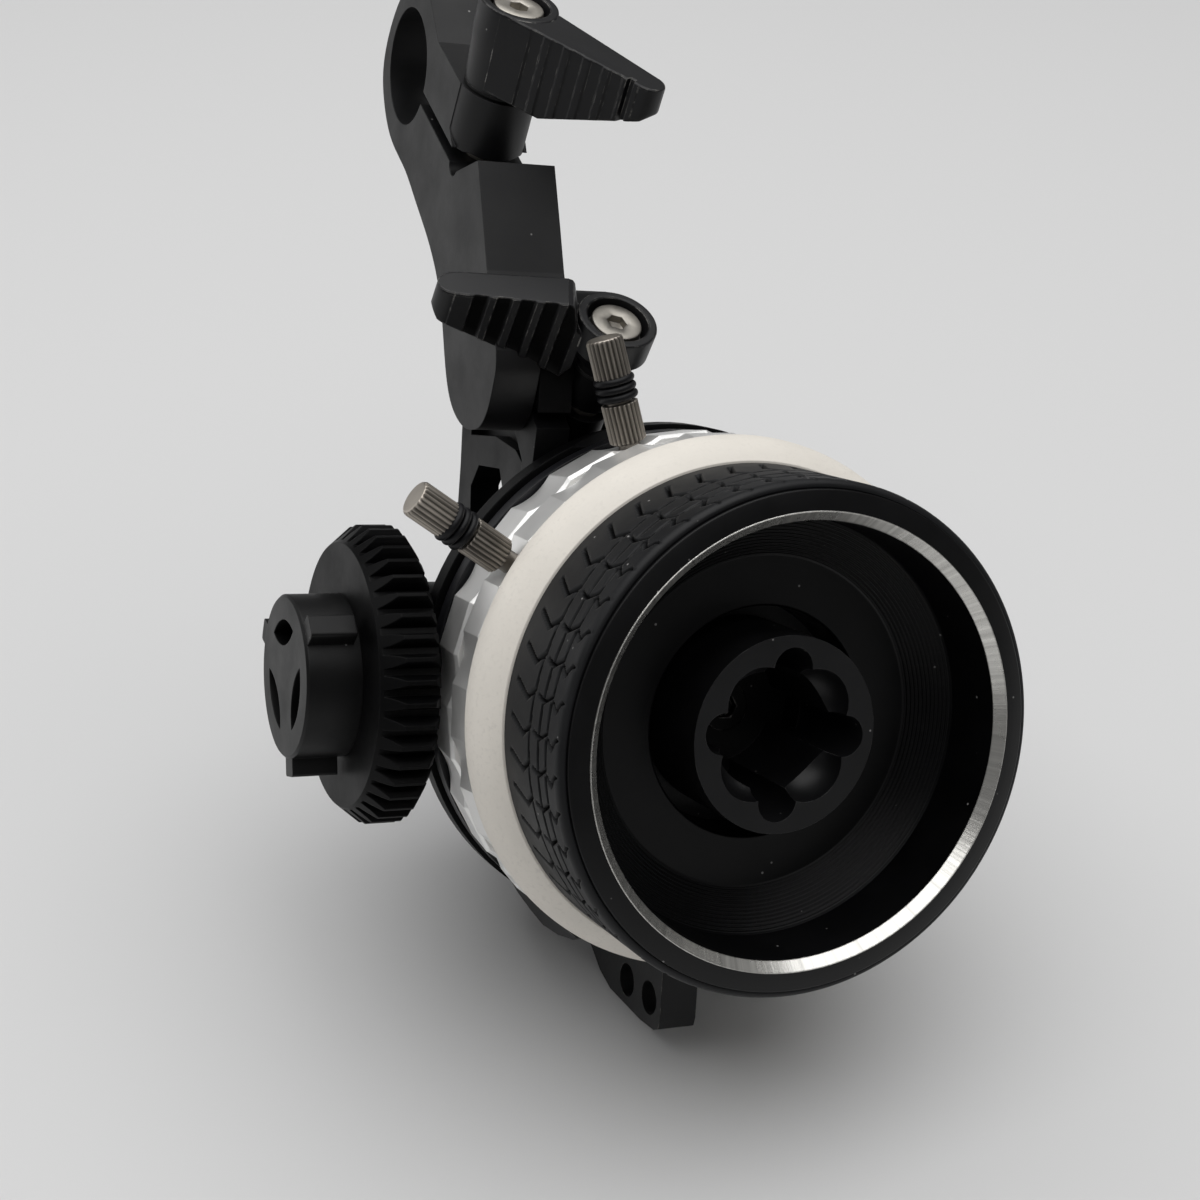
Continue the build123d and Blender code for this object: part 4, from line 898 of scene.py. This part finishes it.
finishes = {
    "wheel_black": finish_of("anodised_wheel", DEEP_BLACK, 0.36, specular=0.26, grain_depth=0.2, lines=2.0),
    # pale edge lines on the socket: partly wear, partly painted highlight
    "socket_black": finish_of("anodised_socket", (0.0035, 0.0035, 0.004), 0.42, specular=0.32, grain_depth=0.5,
                              wear_and_highlight_colour=(0.05, 0.05, 0.05), wear_width=0.00012),
    "grip_rubber": finish_of("tread_rubber", (0.005, 0.0053, 0.0062), 0.52, specular=0.28, variation=0.15,
                             grain_scale=3500, grain_depth=0.6, dusty=0.06, slits=True),
    "o_ring_rubber": finish_of("o_ring_rubber", (0.003, 0.003, 0.004), 0.45, specular=0.25, grain_depth=0.1),
    "spacer_black": finish_of("spacer_satin", (0.01, 0.01, 0.012), 0.4, specular=0.4),
    "housing_black": finish_of("anodised_housing", DEEP_BLACK, 0.48, specular=0.15, grain_depth=0.35, dusty=0.02),
    # pale edges on the bracket: partly wear, partly painted highlight
    "bracket_black": finish_of("anodised_bracket", (0.004, 0.004, 0.0045), 0.48, specular=0.35, grain_depth=0.35,
                               wear_and_highlight_colour=BARE_METAL_AND_HIGHLIGHT, wear_width=0.0001),
    "gear_black": finish_of("anodised_gear", GEAR_BLACK, 0.45, specular=0.1, grain_depth=0.3),
    "knob_black": finish_of("anodised_knob", GEAR_BLACK, 0.46, specular=0.26, grain_depth=0.3),
    "arm_black": finish_of("anodised_arm", (0.003, 0.003, 0.0035), 0.48, specular=0.33, grain_depth=0.4,
                           dusty=0.015),
    "lever_black": finish_of("lever_lacquer", (0.003, 0.003, 0.0038), 0.42, specular=0.32, grain_depth=0.3,
                             dusty=0.02, wear_and_highlight_colour=BARE_METAL_AND_HIGHLIGHT, wear_width=0.0002, slits=True),
}
print("black finishes", len(finishes))

# %% [markdown]
# ## Bare metals and the white disk
# The rings are polished aluminium, the pins and screws are steel in several states, and the bushes
# are sintered bronze. A metal has no dust here, because its bright reflections would hide it. The
# disk is matt plastic with faint dark spots.

# %% Bare metals and white
metals = {
    "ring_aluminium": finish_of("turned_aluminium", (0.85, 0.845, 0.83), 0.38, metallic=0.75, variation=0.03,
                                grain_depth=0.2, dusty=0.0),
    "pin_steel": finish_of("knurled_steel", (0.46, 0.42, 0.37), 0.4, metallic=1.0, variation=0.2,
                           grain_depth=0.4, dusty=0.0, slits=True),
    "screw_steel": finish_of("stainless", (0.36, 0.34, 0.305), 0.42, metallic=1.0, grain_depth=0.4, dusty=0.0),
    "black_screw": finish_of("blackened_steel", (0.03, 0.03, 0.032), 0.4, metallic=1.0, wear_and_highlight_colour=(0.6, 0.55, 0.5),
                             wear_width=0.0003),
    "washer_steel": finish_of("washer_blackened", (0.03, 0.03, 0.03), 0.5, metallic=1.0, dusty=0.0),
    "shaft_steel": finish_of("ground_steel", (0.5, 0.5, 0.5), 0.28, metallic=1.0, dusty=0.0),
    "bevel_steel": finish_of("cut_steel", (0.42, 0.42, 0.43), 0.35, metallic=1.0, dusty=0.0),
    "bush_bronze": finish_of("sintered_bronze", (0.55, 0.36, 0.16), 0.45, metallic=1.0, dusty=0.0),
    "ring_steel": finish_of("spring_steel", (0.3, 0.3, 0.31), 0.35, metallic=1.0, dusty=0.0),
}
finishes.update(metals)
finishes["marking_white"] = finish_of("writing_white", (0.78, 0.74, 0.675), 0.6, specular=0.3, variation=0.03,
                                      grain_scale=1900, grain_depth=1.0, dusty=0.0, mottle=0.05)
chamfer_finish = finish_of("polished_chamfer", (0.62, 0.61, 0.58), 0.27, metallic=0.9, variation=0.2,
                           grain_depth=0.3, dusty=0.0, streaks=2.6)
# bright rim of the socket screw: partly wear, partly painted highlight
socket_screw_finish = finish_of("blackened_screw", (0.02, 0.02, 0.02), 0.45, metallic=1.0, dusty=0.0,
                                wear_and_highlight_colour=(0.5, 0.49, 0.47), wear_width=0.00035)
print("finishes", len(finishes) + 2)

# %% [markdown]
# ## Finishes onto the pieces
# Each solid names its material slot in the record, so the solids are done in one loop. The pieces made above
# follow by name. Two of them differ from their slot: the bright chamfer of the wheel, and the screw in the bottom
# of the crank socket, whose pale rim is partly worn metal and partly a painted highlight.

# %% Materials onto the pieces
slot_of = {part["node"]: part["material_slot"] for part in frame["record"]["subparts"]}
for name, obj in nodes.items():
    obj.material_slots[0].material = finishes[slot_of[name]]
nodes["crank_socket_screw"].material_slots[0].material = socket_screw_finish

made = {
    "dish_turned": "wheel_black", "tread_band": "grip_rubber", "disk_turned": "marking_white",
    "knurled_pin_front": "pin_steel", "knurled_pin_rear": "pin_steel",
    "faceted_ring_front": "ring_aluminium", "faceted_ring_rear": "ring_aluminium",
    "clamp_lever_ribbed": "lever_black", "lock_lever_ribbed": "lever_black",
    "clamp_screw_turned": "screw_steel", "lock_screw_turned": "screw_steel",
}
for name, slot in made.items():
    bpy.data.objects[name].data.materials.append(finishes[slot])
bpy.data.objects["polished_chamfer"].data.materials.append(chamfer_finish)
print("dressed", len(nodes), "solids and", len(made) + 1, "made pieces")

# %% [markdown]
# ## The table
# The unit lies tipped back on a pale table: it rests on its foot and leans on its gearbox. Turning
# the unit would move it out of its frame, so the table is tilted instead. It is one large plane
# that touches the lowest point of the solids.

# %% Table
TABLE_UP = Vector((-0.218, -0.3745, 0.901)).normalized()
TABLE_HALF = 3.0
TABLE_GREY = 0.68

lowest = min(TABLE_UP.dot(v.co) for obj in nodes.values() for v in obj.data.vertices)
bm = bmesh.new()
bmesh.ops.create_grid(bm, x_segments=1, y_segments=1, size=TABLE_HALF)
tilt = TABLE_UP.to_track_quat("Z", "Y").to_matrix().to_4x4()
bmesh.ops.transform(bm, matrix=Matrix.Translation(TABLE_UP * lowest) @ tilt, verts=bm.verts)
mesh = bpy.data.meshes.new("table")
bm.to_mesh(mesh)
bm.free()
table = bpy.data.objects.new("table", mesh)
bpy.context.scene.collection.objects.link(table)

paper = bpy.data.materials.new("table_paper")
paper.use_nodes = True
paper_shader = paper.node_tree.nodes["Principled BSDF"]
paper_shader.inputs["Base Color"].default_value = (TABLE_GREY, TABLE_GREY, TABLE_GREY, 1)
paper_shader.inputs["Roughness"].default_value = 0.9
paper_shader.inputs["Specular IOR Level"].default_value = 0.1
table.data.materials.append(paper)
print("table touches the unit at", round(lowest / MM, 2), "mm along its normal")

# %% [markdown]
# ## The camera
# The camera looks down on the wheel from the gear's side. Its three directions are written out
# instead of a target to look at, because they also fix how far it is rolled. The lens is given as
# a focal length in pixels on a picture 1200 pixels wide.

# %% Camera
FOCAL_PIXELS = 2081.6
PICTURE_PIXELS = 1200
SENSOR_WIDTH = 36
FROM_CROSSING = Vector((-112.18, -235.58, 51.63))

camera_data = bpy.data.cameras.new("camera")
camera_data.lens = FOCAL_PIXELS / PICTURE_PIXELS * SENSOR_WIDTH
camera_data.sensor_width = SENSOR_WIDTH
camera_data.clip_start = 0.01
camera = bpy.data.objects.new("camera", camera_data)
bpy.context.scene.collection.objects.link(camera)
right = Vector((0.91359, -0.40306, 0.05379))
upward = Vector((0.01801, 0.17225, 0.98489))
backward = Vector((-0.40624, -0.89882, 0.16462))
camera_turn = Matrix((right, upward, backward)).transposed().to_4x4()
camera.matrix_world = Matrix.Translation((CROSSING + FROM_CROSSING) * MM) @ camera_turn
bpy.context.scene.camera = camera
print("lens in mm", round(camera_data.lens, 2))

# %% [markdown]
# ## The light
# A light tent gives soft shadows and long, calm reflections, which black parts need. One very large
# disk above the table stands for its roof, a smaller one on the left for a window, and an even grey
# sky for its walls.

# %% Light
LIT_POINT = place(0, 15, 10)


def soft_lamp(name, offset, size, energy):
    lamp = bpy.data.lights.new(name, "AREA")
    lamp.shape = "DISK"
    lamp.size = size
    lamp.energy = energy
    obj = bpy.data.objects.new(name, lamp)
    bpy.context.scene.collection.objects.link(obj)
    obj.location = LIT_POINT + offset
    obj.rotation_euler = offset.to_track_quat("Z", "Y").to_euler()
    print(name, energy, "W")


soft_lamp("key", TABLE_UP * 0.8 - backward * 0.06, size=1.4, energy=9.6)
soft_lamp("window", TABLE_UP * 0.3 - right * 0.9 - backward * 0.3, size=0.8, energy=1.6)
sky = bpy.data.worlds.new("sky")
bpy.context.scene.world = sky
sky.use_nodes = True
sky.node_tree.nodes["Background"].inputs["Color"].default_value = (1, 1, 1, 1)
sky.node_tree.nodes["Background"].inputs["Strength"].default_value = 0.14
bpy.context.scene.view_settings.view_transform = "Standard"
